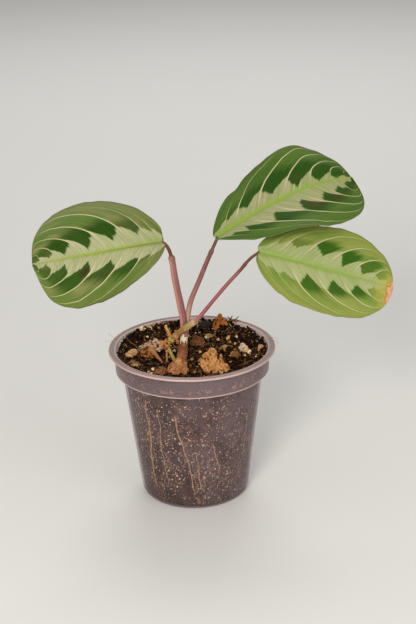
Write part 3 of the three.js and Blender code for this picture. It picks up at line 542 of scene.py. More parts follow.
def tube(name, points, radius, sides=14, rings=50, start=0.0, end=1.0, tear=None):
    """A bar along a smooth line. radius(along, around) is in millimetres, both shares 0 to 1.

    With tear(around) it stays open, and its far edge stands out that much further along.
    """
    piece, around, up = grid_piece(name, sides, rings)
    line, length = smooth_path(points, TUBE_STATIONS)
    if tear is None:  # the ends close as small domes
        stations = lerp(start, end, np.arange(rings + 1) / rings)
        width = np.ones(rings + 1)
        width[0] = width[-1] = 0
        first, last = (float(np.ravel(radius(np.array([at]), 0.5))[0]) for at in (start, end))
        for ring, factor in ((1, 0.35), (2, 0.8)):
            width[ring] = width[-1 - ring] = math.sqrt(1 - (1 - factor) ** 2)
            stations[ring] = start + first * factor / length
            stations[-1 - ring] = end - last * factor / length
        ring = np.rint(up * rings).astype(int)
        along, squeeze = stations[ring], width[ring]
    else:
        along, squeeze = lerp(start, end, up) + tear(around) * up**2, 1
    tangent = np.gradient(line, axis=0)
    tangent /= np.linalg.norm(tangent, axis=1)[:, None]
    side = np.empty_like(line)
    side[0] = np.cross(tangent[0], (0.0, 1.0, 0.02))
    side[0] /= np.linalg.norm(side[0])
    for i in range(1, len(line)):
        side[i] = side[i - 1] - tangent[i] * (side[i - 1] @ tangent[i])
        side[i] /= np.linalg.norm(side[i])
    where = np.clip(along, 0, 1) * (len(line) - 1)
    low = np.minimum(where.astype(int), len(line) - 2)
    part = (where - low)[:, None]
    centre, first, second = (values[low] * (1 - part) + values[low + 1] * part
                             for values in (line, side, np.cross(tangent, side)))
    turn = FULL_TURN * around
    reach = (radius(along, around) * squeeze * np.ones(len(turn)))[:, None]
    points = centre + reach * (np.cos(turn)[:, None] * first + np.sin(turn)[:, None] * second)
    write_points(piece, points)
    close_up(piece)
    return piece


def roughen(piece, amount, size, seed, detail=3, pits=0.0, pit_size=1.0):
    """Moves each vertex along its normal by even noise, and sinks small pits; millimetres.

    How high each vertex ends up, from 0 to 1, is kept for the material to colour it by: the lump
    materials paint light on the high parts and shade on the low ones from it.
    """
    shift = Vector((seed * 7.3, seed * 3.1, seed * 5.7))
    mesh = piece.data
    normals = [vertex.normal.copy() for vertex in mesh.vertices]
    relief = mesh.attributes.get("relief") or mesh.attributes.new("relief", "FLOAT", "POINT")
    for vertex, normal, height in zip(mesh.vertices, normals, relief.data):
        at = vertex.co / MM
        swell = amount * noise.fractal(at / size + shift, 0.9, 2.1, detail)
        if pits:
            near = noise.voronoi(at / pit_size + shift)[0][0]
            swell -= pits * max(0.0, 1 - near / 0.42) ** 0.7
        vertex.co += normal * swell * MM
        height.value = 0.5 * height.value + 0.28 + 0.5 * swell / (amount + pits)
    mesh.update()


def weather(piece, *passes):
    """Roughens a lump once for each pass, and smooths its shading."""
    for given in passes:
        roughen(piece, *given)
    bpy.ops.object.shade_smooth()
    return piece


def join(name, pieces):
    deselect()
    for piece in pieces:
        piece.select_set(True)
    bpy.context.view_layer.objects.active = pieces[0]
    bpy.ops.object.join()
    return named(name)


def set_tone(mesh, tone):
    values = mesh.attributes.new("tone", "FLOAT", "POINT")
    values.data.foreach_set("value", np.full(len(mesh.vertices), tone, np.float32))


def copies(master, matrices, tones):
    """Copies of one small shape, each with its own mesh and its own tone."""
    made = []
    for matrix, tone in zip(matrices, tones):
        mesh = master.data.copy()
        mesh.transform(matrix)
        set_tone(mesh, tone)
        made.append(bpy.data.objects.new(master.name, mesh))
        bpy.context.collection.objects.link(made[-1])
    return made


# ---- materials --------------------------------------------------------------------------------


class Value:
    """One output of a node, so that sums of nodes read as sums."""

    def __init__(self, nodes, socket):
        self.nodes, self.socket = nodes, socket

    def __add__(self, other):
        return self.nodes.math("ADD", self, other)

    def __mul__(self, other):
        return self.nodes.math("MULTIPLY", self, other)

    def __sub__(self, other):
        return self.nodes.math("SUBTRACT", self, other)

    def __rsub__(self, other):
        return self.nodes.math("SUBTRACT", other, self)

    def __truediv__(self, other):
        return self.nodes.math("DIVIDE", self, other)

    def __rtruediv__(self, other):
        return self.nodes.math("DIVIDE", other, self)

    def __abs__(self):
        return self.nodes.math("ABSOLUTE", self)


class Nodes:
    """Adds nodes to one tree and joins them; what goes in is a number, a colour or a Value."""

    def __init__(self, tree):
        self.tree = tree

    def add(self, kind, inputs=(), **settings):
        node = self.tree.nodes.new(kind)
        for key, value in settings.items():
            setattr(node, key, value)
        for key, value in dict(inputs).items():
            self.join(value, node.inputs[key])
        return node

    def out(self, key, kind, inputs=(), **settings):
        return Value(self, self.add(kind, inputs, **settings).outputs[key])

    def outs(self, node):
        return {socket.name: Value(self, socket) for socket in node.outputs}

    def join(self, value, socket):
        if isinstance(value, Value):
            self.tree.links.new(value.socket, socket)
        elif socket.type == "RGBA" and len(value) == 3:
            socket.default_value = (*value, 1)
        else:
            socket.default_value = value

    def math(self, operation, *values, clamp=False):
        return self.out(0, "ShaderNodeMath", enumerate(values), operation=operation,
                        use_clamp=clamp)

    def clamp(self, value):
        return self.math("ADD", value, 0, clamp=True)

    def higher(self, first, second):
        return self.math("MAXIMUM", first, second)

    def vector(self, x=0.0, y=0.0, z=0.0):
        return self.out(0, "ShaderNodeCombineXYZ", {"X": x, "Y": y, "Z": z})

    def split(self, vector):
        node = self.add("ShaderNodeSeparateXYZ", {0: vector})
        return [Value(self, socket) for socket in node.outputs]

    def scaled(self, vector, scale, shift=(0, 0, 0)):
        inputs = {"Vector": vector, "Scale": scale, "Location": shift}
        return self.out(0, "ShaderNodeMapping", inputs)

    def smooth(self, value, low, high):
        """0 below low and 1 above high; low may be the larger."""
        inputs = {"Value": value, "From Min": low, "From Max": high}
        return self.out(0, "ShaderNodeMapRange", inputs, interpolation_type="SMOOTHSTEP")

    def smooth_mm(self, value, low, high):
        """The same for a distance, with the limits in millimetres."""
        return self.smooth(value, low * MM, high * MM)

    def blend(self, share, first, second):
        return self.out(0, "ShaderNodeMix", {0: share, 2: first, 3: second})

    def mix(self, share, first, second):
        node = self.add("ShaderNodeMix", data_type="RGBA")
        sockets = [socket for socket in node.inputs if socket.enabled]
        for value, socket in zip((share, first, second), sockets):
            self.join(value, socket)
        return Value(self, next(socket for socket in node.outputs if socket.enabled))

    def layers(self, colour, *tops):
        """Lays colours over the first, each by its own share."""
        for share, top in tops:
            colour = self.mix(share, colour, top)
        return colour

    def noise(self, vector, scale, detail=2.0, roughness=0.5, distortion=0.0):
        inputs = {"Vector": vector, "Scale": scale, "Detail": detail, "Roughness": roughness,
                  "Distortion": distortion}
        return self.out("Fac", "ShaderNodeTexNoise", inputs)

    def cells(self, vector, scale):
        """Distance to the nearest cell's centre, and that cell's own random colour."""
        found = self.outs(self.add("ShaderNodeTexVoronoi", {"Vector": vector, "Scale": scale}))
        return found["Distance"], found["Color"]

    def ramp(self, share, stops, interpolation="LINEAR"):
        node = self.add("ShaderNodeValToRGB", {0: share})
        node.color_ramp.interpolation = interpolation
        elements = node.color_ramp.elements
        while len(elements) < len(stops):
            elements.new(0.5)
        for element, (position, *colour) in zip(elements, stops):
            element.position = position
            element.color = (*colour, 1)
        return Value(self, node.outputs[0])

    def tones(self, share, stops):
        return self.ramp(share, [(position, *srgb(*rgb)) for position, *rgb in stops])

    def bump(self, height, strength, distance):
        inputs = {"Height": height, "Strength": strength, "Distance": distance * MM}
        return self.out(0, "ShaderNodeBump", inputs)

    def group(self, name, build, inputs):
        """A shared group's outputs; the group itself is built on first use."""
        tree = bpy.data.node_groups.get(name) or build(name)
        return self.outs(self.add("ShaderNodeGroup", inputs, node_tree=tree))

    def attribute(self, name):
        return self.out("Fac", "ShaderNodeAttribute", attribute_name=name)

    @property
    def place(self):
        return self.out("Object", "ShaderNodeTexCoord")

    @property
    def uv(self):
        return self.out("UV", "ShaderNodeTexCoord")

    def surface(self, colour, roughness, height=None, strength=1.0, distance=1.0, **others):
        """Ends a material in its shader; others go on the shader's own sockets."""
        inputs = {"Base Color": colour, "Roughness": roughness}
        if height:
            inputs["Normal"] = self.bump(height, strength, distance)
        inputs.update({key.replace("_", " "): value for key, value in others.items()})
        shader = self.out(0, "ShaderNodeBsdfPrincipled", inputs)
        self.add("ShaderNodeOutputMaterial", {"Surface": shader})


def new_material(name):
    material = bpy.data.materials.new(name)
    material.use_nodes = True
    material.node_tree.nodes.clear()
    return material, Nodes(material.node_tree)


def new_group(name, colours, values, colours_out, values_out):
    """A shader node group with named sockets."""
    tree = bpy.data.node_groups.new(name, "ShaderNodeTree")
    for keys, way, kind in ((colours, "INPUT", "Color"), (values, "INPUT", "Float"),
                            (colours_out, "OUTPUT", "Color"), (values_out, "OUTPUT", "Float")):
        for key in keys:
            tree.interface.new_socket(key, in_out=way, socket_type="NodeSocket" + kind)
    nodes = Nodes(tree)
    given = nodes.outs(nodes.add("NodeGroupInput"))
    result = nodes.add("NodeGroupOutput").inputs

    def give(**outputs):
        for key, value in outputs.items():
            nodes.join(value, result[key])
        return tree

    return nodes, given, give


def leaf_group(name):
    """The blade's pattern, from its UV map: vein count across U, midrib in the middle of V."""
    n, given, give = new_group(name, (*TINTS, "Vein", "Ends", "Reaches"), VALUES,
                               ("Color",), ("Height", "Roughness"))
    u, v, _ = n.split(n.uv)
    count = u * PHASE_SPAN[1] + PHASE_SPAN[0]
    across = v * 2 - 1
    reach = abs(across)
    side = n.math("SIGN", across) * 31.7 + given["Seed"]
    part = n.math("FRACT", count)

    def drawn_out(between_veins, outwards, roughness):
        place = n.vector(count * between_veins, reach * outwards, side)
        return n.noise(place, 1, 2, roughness)

    wisp = drawn_out(6, 2.2, 0.6) - 0.5
    hair = drawn_out(19, 2.4, 0.65) - 0.5
    cloud = drawn_out(0.9, 2.6, 0.5)

    # Where the pale middle ends: far out at each vein, and near the midrib at the blotch's end.
    turn, near, edge = n.split(given["Ends"])
    outward, dark_share, brown_share = n.split(given["Reaches"])
    basal = n.clamp(1 - part / turn)
    tipward = n.math("POWER", n.higher((part - turn) / (1 - turn), 0), 0.55)
    border = n.higher(basal, tipward) * (edge - near) + near + wisp * 0.11 + hair * 0.075
    pale = n.smooth(reach - border, 0.03, -0.02)

    # The dark blotch outside it, with its brown heart.
    slanted = part * 0.12 + reach - outward + wisp * 0.14
    blotch = n.smooth(slanted, 0.13, -0.05) * dark_share
    blotch = blotch * n.smooth(part - given["Blotch stop"], 0.1, -0.1)
    along_spot = (part - (turn - 0.12)) * 0.6
    out_spot = (reach - near - 0.24) * 1.4
    spot = n.math("SQRT", along_spot * along_spot + out_spot * out_spot) + wisp * 0.06
    spot = n.smooth(spot, 0.18, 0.05) * brown_share

    # The side veins, thinner outwards, and fading near the midrib, the base and the tip.
    apart = abs(n.math("FRACT", count + 0.5) - 0.5)
    width = reach * -0.012 + 0.054
    line = n.smooth(apart, width, width * 0.45)
    line = line * n.smooth(reach, 1, 0.9) * n.smooth(reach, 0.12, 0.4)
    line = line * (n.smooth(count, -0.6, 0) * n.smooth(count, 6.6, 5.6))
    line = line * (1 - n.smooth(count, 1.2, 0.3) * n.smooth(reach, 0.5, 0.85))

    # The lime stripe along the midrib, the midrib's own line, and a brown line of painted shade
    # along its groove at the base.
    fading = n.smooth(count, 2.5, 6)
    lime = n.smooth(count, 2.2, -0.3) * given["Lime foot"] + given["Lime"]
    lime = n.smooth(reach - lime + hair * 0.16, 0.09, -0.05) * given["Lime share"]
    centre = n.smooth(reach, 0.042, 0.018) * (fading * -0.4 + 0.85)
    # painted shade: a thin brown line along the midrib's groove at the base
    groove = n.smooth(reach, 0.022, 0.008) * n.smooth(count, 4, 0.5) * given["Painted groove shade"]

    ribs = n.clamp(hair * 1.6 + 0.5)
    fine = n.math("SINE", count * (FULL_TURN * 8) + wisp * 9) * 0.5 + 0.5
    outer = n.layers(
        given["Outer"], (n.smooth(cloud, 0.42, 0.6), given["Patch"]),
        (n.smooth(reach, 0.72, 1) * 0.6, given["Margin"]), (ribs * 0.34, given["Blotch"]),
        (fine * 0.12, given["Pale"]))
    dark = n.layers(given["Blotch"], (ribs * 0.22, outer), (spot, given["Brown"]))
    feather = n.layers(given["Shade"], (n.smooth(hair, -0.14, 0.16), given["Pale"]),
                       (fine * 0.3, given["Shade"]))
    colour = n.layers(
        outer, (blotch, dark), (pale, feather), (lime * (fading * -0.6 + 1), given["Midrib"]),
        (line * 0.9, given["Vein"]), (centre, given["Midrib"]), (groove, given["Brown"]),
        (n.smooth(reach, 0.975, 0.995) * 0.45, srgb(150, 140, 84)))
    height = line * 0.5 + hair * 0.9 + fine * 0.16 + n.smooth(reach, 0.05, 0.01) * -0.4
    return give(Color=colour, Height=height, Roughness=line * -0.06 + (cloud * 0.14 + 0.46))


def fibre_group(name):
    """Fine streaks along a stalk or sheath, from its UV map: along is V."""
    n, given, give = new_group(name, (), ("Around", "Along", "Seed"), (), ("Streak", "Mottle"))
    u, v, _ = n.split(n.uv)
    turn = u * FULL_TURN
    loop = n.vector(n.math("COSINE", turn) * given["Around"],
                    n.math("SINE", turn) * given["Around"], v * given["Along"] + given["Seed"])
    coarse = n.scaled(loop, (0.5, 0.5, 2.5), (3.3, 1.7, 0))
    return give(Streak=n.noise(loop, 1, 3, 0.6), Mottle=n.noise(coarse, 1))


def crumb_group(name):
    """Grains and pits of one size in millimetres, from Object coordinates."""
    n, given, give = new_group(name, (), ("Size",), (), ("Grain", "Pits", "Mottle"))
    place = n.place
    scale = (1 / MM) / given["Size"]
    mottle = n.noise(place, scale * 0.28)
    hollow, _ = n.cells(place, scale * 0.9)
    pits = n.smooth(hollow, 0.34, 0.1) * n.smooth(mottle, 0.42, 0.6)
    return give(Grain=n.noise(place, scale, 4, 0.65), Pits=pits, Mottle=mottle)


def cell_inputs(n, cells):
    """Each cell's own numbers, looked up by vein count for the half of the blade."""
    u, v, _ = n.split(n.uv)
    share = (u * PHASE_SPAN[1] + PHASE_SPAN[0] - FIRST_CELL) / len(cells[0])
    is_left = n.math("GREATER_THAN", v, 0.5)
    found = {}
    for name, first in (("Ends", 0), ("Reaches", 3)):
        left, right = (
            n.ramp(share, [(i / len(half), *cell[first:first + 3])
                           for i, cell in enumerate(half)], "CONSTANT")
            for half in cells)
        found[name] = n.mix(is_left, right, left)
    return found


def blade_materials(settings, name, burn_at):
    """The upper and lower faces of one blade."""
    looks = UPPER_FACES[name]
    upper = {key: srgb(*tint) for key, tint in zip(TINTS, looks)}
    upper.update(zip(VALUES, looks[len(TINTS):]))
    lower = dict.fromkeys(TINTS, tuple(settings.underside))
    lower.update({key: srgb(*tint) for key, tint in UNDERSIDE.items()})
    faces = []
    for title, tints, specular, rougher in (
            ("Blade ", {"Vein": tuple(settings.vein)}, 0.1, 0),
            ("Blade underside ", {**lower, "Painted groove shade": 0}, 0.3, 0.1)):
        material, n = new_material(title + name)
        found = n.group("Prayer plant blade", leaf_group,
                        {**upper, **tints, **cell_inputs(n, CELLS[name])})
        colour = found["Color"]
        if name == BURN.blade and not faces:
            toward = n.out("Value", "ShaderNodeVectorMath", {0: n.place, 1: burn_at},
                           operation="DISTANCE")
            ragged = (n.noise(n.place, 300, 3) - 0.5) * (BURN.ragged * MM) + toward
            colour = n.layers(colour, *((n.smooth_mm(ragged, far, close) * share, srgb(*tint))
                                        for far, close, tint, share in BURN.bands))
        n.surface(colour, found["Roughness"] + rougher, found["Height"], 0.6, 0.3,
                  Specular_IOR_Level=specular)
        faces.append(material)
    return faces


def stalk_material(name, stops, streak, around, along, seed, roughness=0.45, bump=0.25,
                   stripe=None):
    """A stalk's colours along its length, with lengthways streaks and one paler stripe."""
    material, n = new_material(name)
    fibres = n.group("Lengthways fibres", fibre_group,
                     {"Around": around, "Along": along, "Seed": seed})
    u, v, _ = n.split(n.uv)
    colour = n.tones((fibres["Mottle"] - 0.5) * 0.05 + v, stops)
    colour = n.mix(n.smooth(fibres["Streak"], 0.42, 0.72) * 0.55, colour, srgb(*streak))
    if stripe:
        turn, width, until, tint = stripe
        band = n.smooth(abs(u - turn), width, width * 0.4) * n.smooth(v, until, until - 0.06)
        colour = n.mix(band * 0.75, colour, srgb(*tint))
    n.surface(colour, fibres["Streak"] * 0.2 + (roughness - 0.1), fibres["Streak"], 0.5, bump,
              Specular_IOR_Level=0.25)
    return material


def stalk_look(name):
    return stalk_material(name, *STALK_LOOKS[name])


def lump_material(name, stops, size, pits, roughness=0.85, bump=0.6):
    """A rough lump: its grain's own tone, with painted light on its high parts and painted shade
    on its low parts, in its pits and in its hollows.
    """
    material, n = new_material(name)
    grain = n.group("Crumbly grain", crumb_group, {"Size": size})
    relief = n.attribute("relief")
    tone = grain["Grain"] * 0.5 + grain["Mottle"] * 0.25 - 0.07
    # painted shade: the pits and the low parts of the surface go to a darkened copy of the darkest
    # colour
    hollow = n.higher(grain["Pits"] * pits, n.smooth(relief, 0.3, 0.06) * 0.9)
    dark = shaded(srgb(*stops[0][1:]), 0.22)
    # painted light and shade by height: high parts take the lighter colours, low parts the darker
    # ones
    n.surface(n.mix(hollow, n.tones(relief * 0.42 + tone, stops), dark),
              grain["Mottle"] * 0.2 + (roughness - 0.1), grain["Pits"] * -0.7 + grain["Grain"],
              0.9, bump, Specular_IOR_Level=0.12)
    return material


def lump_look(name):
    return lump_material(name, *LUMP_LOOKS[name])


def toned_look(name):
    """Many small lumps in one piece, each with its own tone."""
    stops, size, roughness = TONED_LOOKS[name]
    material, n = new_material(name)
    grain = n.group("Crumbly grain", crumb_group, {"Size": size})["Grain"]
    n.surface(n.tones((grain - 0.5) * 0.35 + n.attribute("tone"), stops),
              grain * 0.2 + (roughness - 0.1), grain, 0.7, size * 0.6, Specular_IOR_Level=0.06)
    return material


def plastic_material(settings):
    """See-through plastic: hazy in clouds, thicker at the lip, the step and the foot, with painted
    highlights on the lip's edges, the step and the foot, and painted shade and highlight on the
    lip's rings.
    """
    material, n = new_material("Nursery pot plastic")
    place = n.place
    x, y, z = n.split(place)
    out = n.out("Value", "ShaderNodeVectorMath", {0: n.vector(x, y)}, operation="LENGTH")
    top = n.smooth_mm(z, POT.height - 2.4, POT.height - 1.5)
    # step and foot mark where the plastic is thicker, for the haze, and also where the colour gets
    # painted highlights
    step = n.smooth_mm(abs(z - (POT.collar_foot - 0.1) * MM), 0.75, 0.4)
    foot = n.smooth_mm(z, 3, 0.8) * 0.5
    collar = n.smooth_mm(z, POT.collar_foot - 0.5, POT.collar_foot + 0.5)
    cloud = n.noise(place, 42)
    smears = n.noise(n.scaled(place, (1, 1, 0.4)), 160, 3, 0.6)
    haze = n.blend(collar, settings.haze, settings.collar_haze) + (cloud - 0.46) * 0.62
    haze = haze + n.smooth(smears, 0.56, 0.72) * 0.07 + n.smooth_mm(z, 55, 8) * -0.1
    haze = n.higher(haze - 0.055 + n.smooth_mm(x, -40, 30) * 0.1, 0.1)
    grazing = n.out("Facing", "ShaderNodeLayerWeight", {"Blend": 0.5})
    haze = n.clamp(n.math("POWER", grazing, 3) * 0.4 + haze)

    rings = n.math("SINE", out * (FULL_TURN / (1.25 * MM)))
    rim, plastic = tuple(settings.rim), tuple(settings.plastic)
    inner = n.smooth_mm(out, POT.lip_inner_radius + 1, POT.lip_inner_radius + 0.5)
    outer = n.smooth_mm(out, POT.rim_radius - 0.8, POT.rim_radius - 0.3)
    # painted highlight: the rim's colour made lighter, for the lip's inner and outer edges and for
    # the step
    painted_highlight = shaded(rim, 1.75)
    # painted shade and painted highlight: the lip's rings painted darker and lighter in turn,
    # following the ridges
    lip = n.mix(n.smooth(rings, -0.2, 0.9), shaded(rim, 0.66), shaded(rim, 1.15))
    lip = n.mix(n.higher(inner, outer) * 0.8, lip, painted_highlight)
    # painted highlights: the step's band in the light tint, and the foot's band half way to the
    # rim's colour
    colour = n.layers(plastic, (n.smooth(cloud, 0.35, 0.7), shaded(plastic, 0.8)), (top, lip),
                      (step, painted_highlight), (foot, rim))
    thick = n.higher(top, n.higher(step, foot))
    n.surface(colour, cloud * 0.16 + 0.24, cloud * 1.5 + rings * top, 0.25, 0.15, IOR=1.47,
              Alpha=n.blend(thick, haze, settings.rim_haze))
    return material


# Flecks in the mix: cells to a metre, share, size and strength on the wall; and their colours.
FLECKS = ((330, 0.16, 0.32, 1), (600, 0.5, 0.44, 0.95), (950, 0.55, 0.5, 0.8))
FLECK_TONES = ((0, 156, 110, 70), (0.5, 206, 158, 106), (0.85, 236, 202, 154),
               (1, 248, 234, 212))
JITTER = 0.3 * MM


def mix_material(settings):
    """Moist mix: dark crumbs with golden flecks and fibres, denser half way up the wall."""
    material, n = new_material("Potting mix")
    place = n.place
    _, _, z = n.split(place)
    grain = n.noise(place, 520, 5, 0.7)
    clods = n.noise(place, 130, 3, 0.55)
    wall = n.smooth_mm(z, 96, 92)
    colour = n.layers(
        tuple(settings.soil), (n.smooth(grain, 0.46, 0.72) * (wall * -0.7 + 1), srgb(58, 36, 22)),
        (n.smooth(clods, 0.6, 0.76), srgb(48, 29, 18)),
        (wall * n.smooth(clods, 0.4, 0.66), srgb(74, 52, 40)))
    patchy = n.smooth(n.noise(place, 38, 3, 0.6), 0.36, 0.64)
    dense = patchy * 0.75 + n.smooth_mm(z, 88, 70) * n.smooth_mm(z, 4, 34) * 0.3
    jitter = n.out("Color", "ShaderNodeTexNoise", {"Vector": place, "Scale": 1500})
    ragged = n.out(0, "ShaderNodeVectorMath", {0: jitter, 1: (JITTER,) * 3, 2: place},
                   operation="MULTIPLY_ADD")
    for scale, share, large, light in FLECKS:
        distance, chance = n.cells(ragged, scale)
        red, green, _ = n.split(chance)
        few = n.smooth(red * (dense * 0.85 + 0.38), 1 - share, 1.04 - share)
        size = green * (large * 0.6) + large * 0.4
        fleck = n.smooth(distance, size, size * 0.6) * few * (wall * (light - 0.3) + 0.3)
        colour = n.mix(fleck, colour, n.tones(green, FLECK_TONES))
    threads = n.noise(n.scaled(place, (1, 1, 0.3)), 420, 2, 0.5, 1.5)
    thread = n.smooth(abs(threads - 0.5), 0.02, 0.005) * (patchy * 0.22)
    stains = n.smooth(n.noise(place, 150, 3, 0.6), 0.56, 0.64) * (wall * n.smooth_mm(z, 84, 88))
    patches = n.smooth(n.noise(place, 90, 4, 0.65), 0.61, 0.68) * (wall * 0.6)
    colour = n.layers(colour, (thread, srgb(160, 104, 56)),
                      (n.higher(stains, patches) * 0.8, srgb(220, 168, 116)))
    n.surface(colour, grain * 0.3 + 0.7, (clods * 0.8 + grain) * (wall * -0.97 + 1), 1, 0.8,
              Specular_IOR_Level=0.05)
    return material


# ---- the pot ----------------------------------------------------------------------------------


def body_radius(height):
    share = (height - POT.base_round) / (POT.collar_foot - POT.base_round)
    return lerp(POT.base_radius, POT.body_top_radius, share)


def steps_to(count):
    """Even shares after 0, up to 1."""
    return [i / count for i in range(1, count + 1)]


def curve_between(start, pull, end, count):
    """Points after start on the curve to end that pull draws out."""
    return [tuple((1 - t) ** 2 * s + 2 * t * (1 - t) * p + t * t * e
                  for s, p, e in zip(start, pull, end)) for t in steps_to(count)]


def pot_profile(ridge):
    """Radius and height of each ring of the shell, from the pad out, up, over and back in."""
    top, wall, foot, floor = POT.height, POT.wall, POT.collar_foot, POT.floor
    under = top - POT.lip_thickness
    base, base_round = POT.base_radius, POT.base_round
    corner = base - base_round
    pad, push, inner = POT.pad_radius, POT.push_up, POT.foot_inner
    collar, collar_foot = POT.collar_radius, POT.collar_foot_radius
    body_top, rim, lip_inner = POT.body_top_radius, POT.rim_radius, POT.lip_inner_radius
    rings = [(pad * 0.5, 0), (pad, 0), (pad + 0.3, 0.1), (pad + push - 0.3, push - 0.1),
             (pad + push, push), (inner - push, push), (inner - push + 0.3, push - 0.2),
             (inner - 0.2, 0.15), (inner, 0), (corner - 1, 0), (corner, 0)]
    rings += curve_between((corner, 0), (base - 0.6, 0), (base, base_round), 7)
    rings += [(body_radius(height), height) for height in range(10, 88, 6)]
    step = (collar_foot - 0.5, foot - 0.4)
    rings += [(body_top, foot - 0.5), (body_top + 0.15, foot - 0.4), step]
    rings += curve_between(step, (collar_foot, foot - 0.4), (collar_foot, foot + 0.6), 4)
    rings += [(lerp(collar_foot, collar, s), lerp(foot + 0.6, under, s))
              for s in (0.1, 0.35, 0.65, 0.94)]
    rings += [(collar + 0.15, under - 0.1), (rim - 0.8, under - 0.4)]
    rings += curve_between(rings[-1], (rim + 0.3, under + 0.2), (rim - 0.5, top - 0.3), 6)
    for share in (0, *steps_to(28)):
        swell = math.sin(math.pi * share)
        wave = ridge * math.cos(FULL_TURN * POT.lip_rings * share) * swell**0.3
        rings.append((lerp(rim - 0.7, lip_inner + 0.6, share), top - 0.22 + 0.1 * swell + wave))
    inside = collar_foot - wall
    rings += [(lip_inner + 0.1, top - 0.5), (lip_inner, top - 0.9)]
    rings += [(lerp(lip_inner, inside, s), lerp(top - 0.9, foot + 0.9, s)) for s in (0.3, 0.7, 1)]
    rings += [(inside - 0.6, foot + 0.4), (body_top - wall + 0.2, foot + 0.25),
              (body_top - wall, foot - 0.2)]
    rings += [(body_radius(height) - wall, height) for height in range(82, 5, -8)]
    rings.append((base - wall, base_round))
    rings += curve_between((base - wall, base_round), (base - 1.2, floor), (corner, floor), 5)
    rings += [(inner + 0.4, floor), (inner - push + 0.4, push + floor),
              (pad + push - 0.4, push + floor), (pad - 0.4, floor), (pad * 0.5, floor)]
    return rings


class PLANT_OT_pot(bpy.types.Operator):
    """Model the thin see-through nursery pot"""

    bl_idname = "plant.pot"
    bl_label = "Nursery pot"

    def execute(self, context):
        settings = context.scene.plant_pot
        rings = pot_profile(settings.lip_ridge / MM)
        deselect()
        bpy.ops.mesh.primitive_circle_add(vertices=POT.segments, radius=rings[0][0] * MM,
                                          location=(0, 0, rings[0][1] * MM), fill_type="TRIFAN")
        pot = named("nursery_pot")
        bpy.ops.object.mode_set(mode="EDIT")
        bpy.ops.mesh.select_all(action="DESELECT")
        bpy.ops.mesh.select_mode(type="EDGE")
        bpy.ops.mesh.select_non_manifold()
        for (radius, height), (next_radius, next_height) in zip(rings, rings[1:]):
            rise = (0, 0, (next_height - height) * MM)
            bpy.ops.mesh.extrude_edges_move(TRANSFORM_OT_translate={"value": rise})
            size = next_radius / radius
            bpy.ops.transform.resize(value=(size, size, 1), center_override=(0, 0, 0))
        bpy.ops.mesh.edge_face_add()
        bpy.ops.mesh.poke()
        bpy.ops.mesh.select_all(action="SELECT")
        bpy.ops.mesh.normals_make_consistent(inside=False)
        bpy.ops.object.mode_set(mode="OBJECT")
        deselect()
        drills = []
        circle = POT.drain_circle * MM
        for i in range(POT.drain_holes):
            angle = FULL_TURN * i / POT.drain_holes
            at = (circle * math.cos(angle), circle * math.sin(angle), 0)
            bpy.ops.mesh.primitive_cylinder_add(vertices=40, radius=POT.drain_radius * MM,
                                                depth=12 * MM, location=at)
            drills.append(bpy.context.object)
        drill = join("drill", drills)
        apply_modifier(pot, "BOOLEAN", operation="DIFFERENCE", object=drill, solver="EXACT")
        bpy.data.objects.remove(drill)
        activate(pot)
        bpy.ops.object.transform_apply(location=True, rotation=True, scale=True)
        bpy.ops.object.shade_smooth_by_angle(angle=math.radians(38))
        set_in(pot, "pot_plastic", plastic_material(settings), "pot")
        return {"FINISHED"}


# ---- the mix ----------------------------------------------------------------------------------


def waves(x, y, seed, pace):
    """The same even rolling noise as the part's own mix has."""
    total = 0
    for i in (1, 2, 3):
        turn = seed * 1.7 + i * 2.4
        total += np.sin(pace * i * (x * math.cos(turn) + y * math.sin(turn)) + seed * i)
        total += np.sin(-pace * i * x * math.sin(turn) + turn)
    return total / 4


def mix_height(x, y):
    """Height of the mix's rolling surface, in millimetres."""
    out = np.hypot(x, y) / POT.collar_foot_radius
    bump = 0.6 * waves(x, y, 4, 0.16) + 0.5 * waves(x, y, 9, 0.62)
    bank = MIX.bank + MIX.back_bank * smooth(y, -10, 25)  # mix pushed up against the wall
    bank = bank * smooth(np.hypot(x, y), 38, 49) * (0.94 + 0.12 * waves(x, y, 6, 0.13))
    return MIX.edge + MIX.mound * (1 - out * out) + MIX.bump * bump + bank


def crumbly(x, y, z):
    """Fine crumbs of the mix's skin at each point, in millimetres."""
    heights = []
    for point in zip(x, y, z):
        at = Vector(point)
        rough = noise.fractal(at / 2.6, 0.8, 2.2, 4)
        clod = noise.voronoi(at / 2.1)[0][0]
        heights.append(0.75 * rough + 0.9 * (0.42 - clod))
    return np.array(heights)


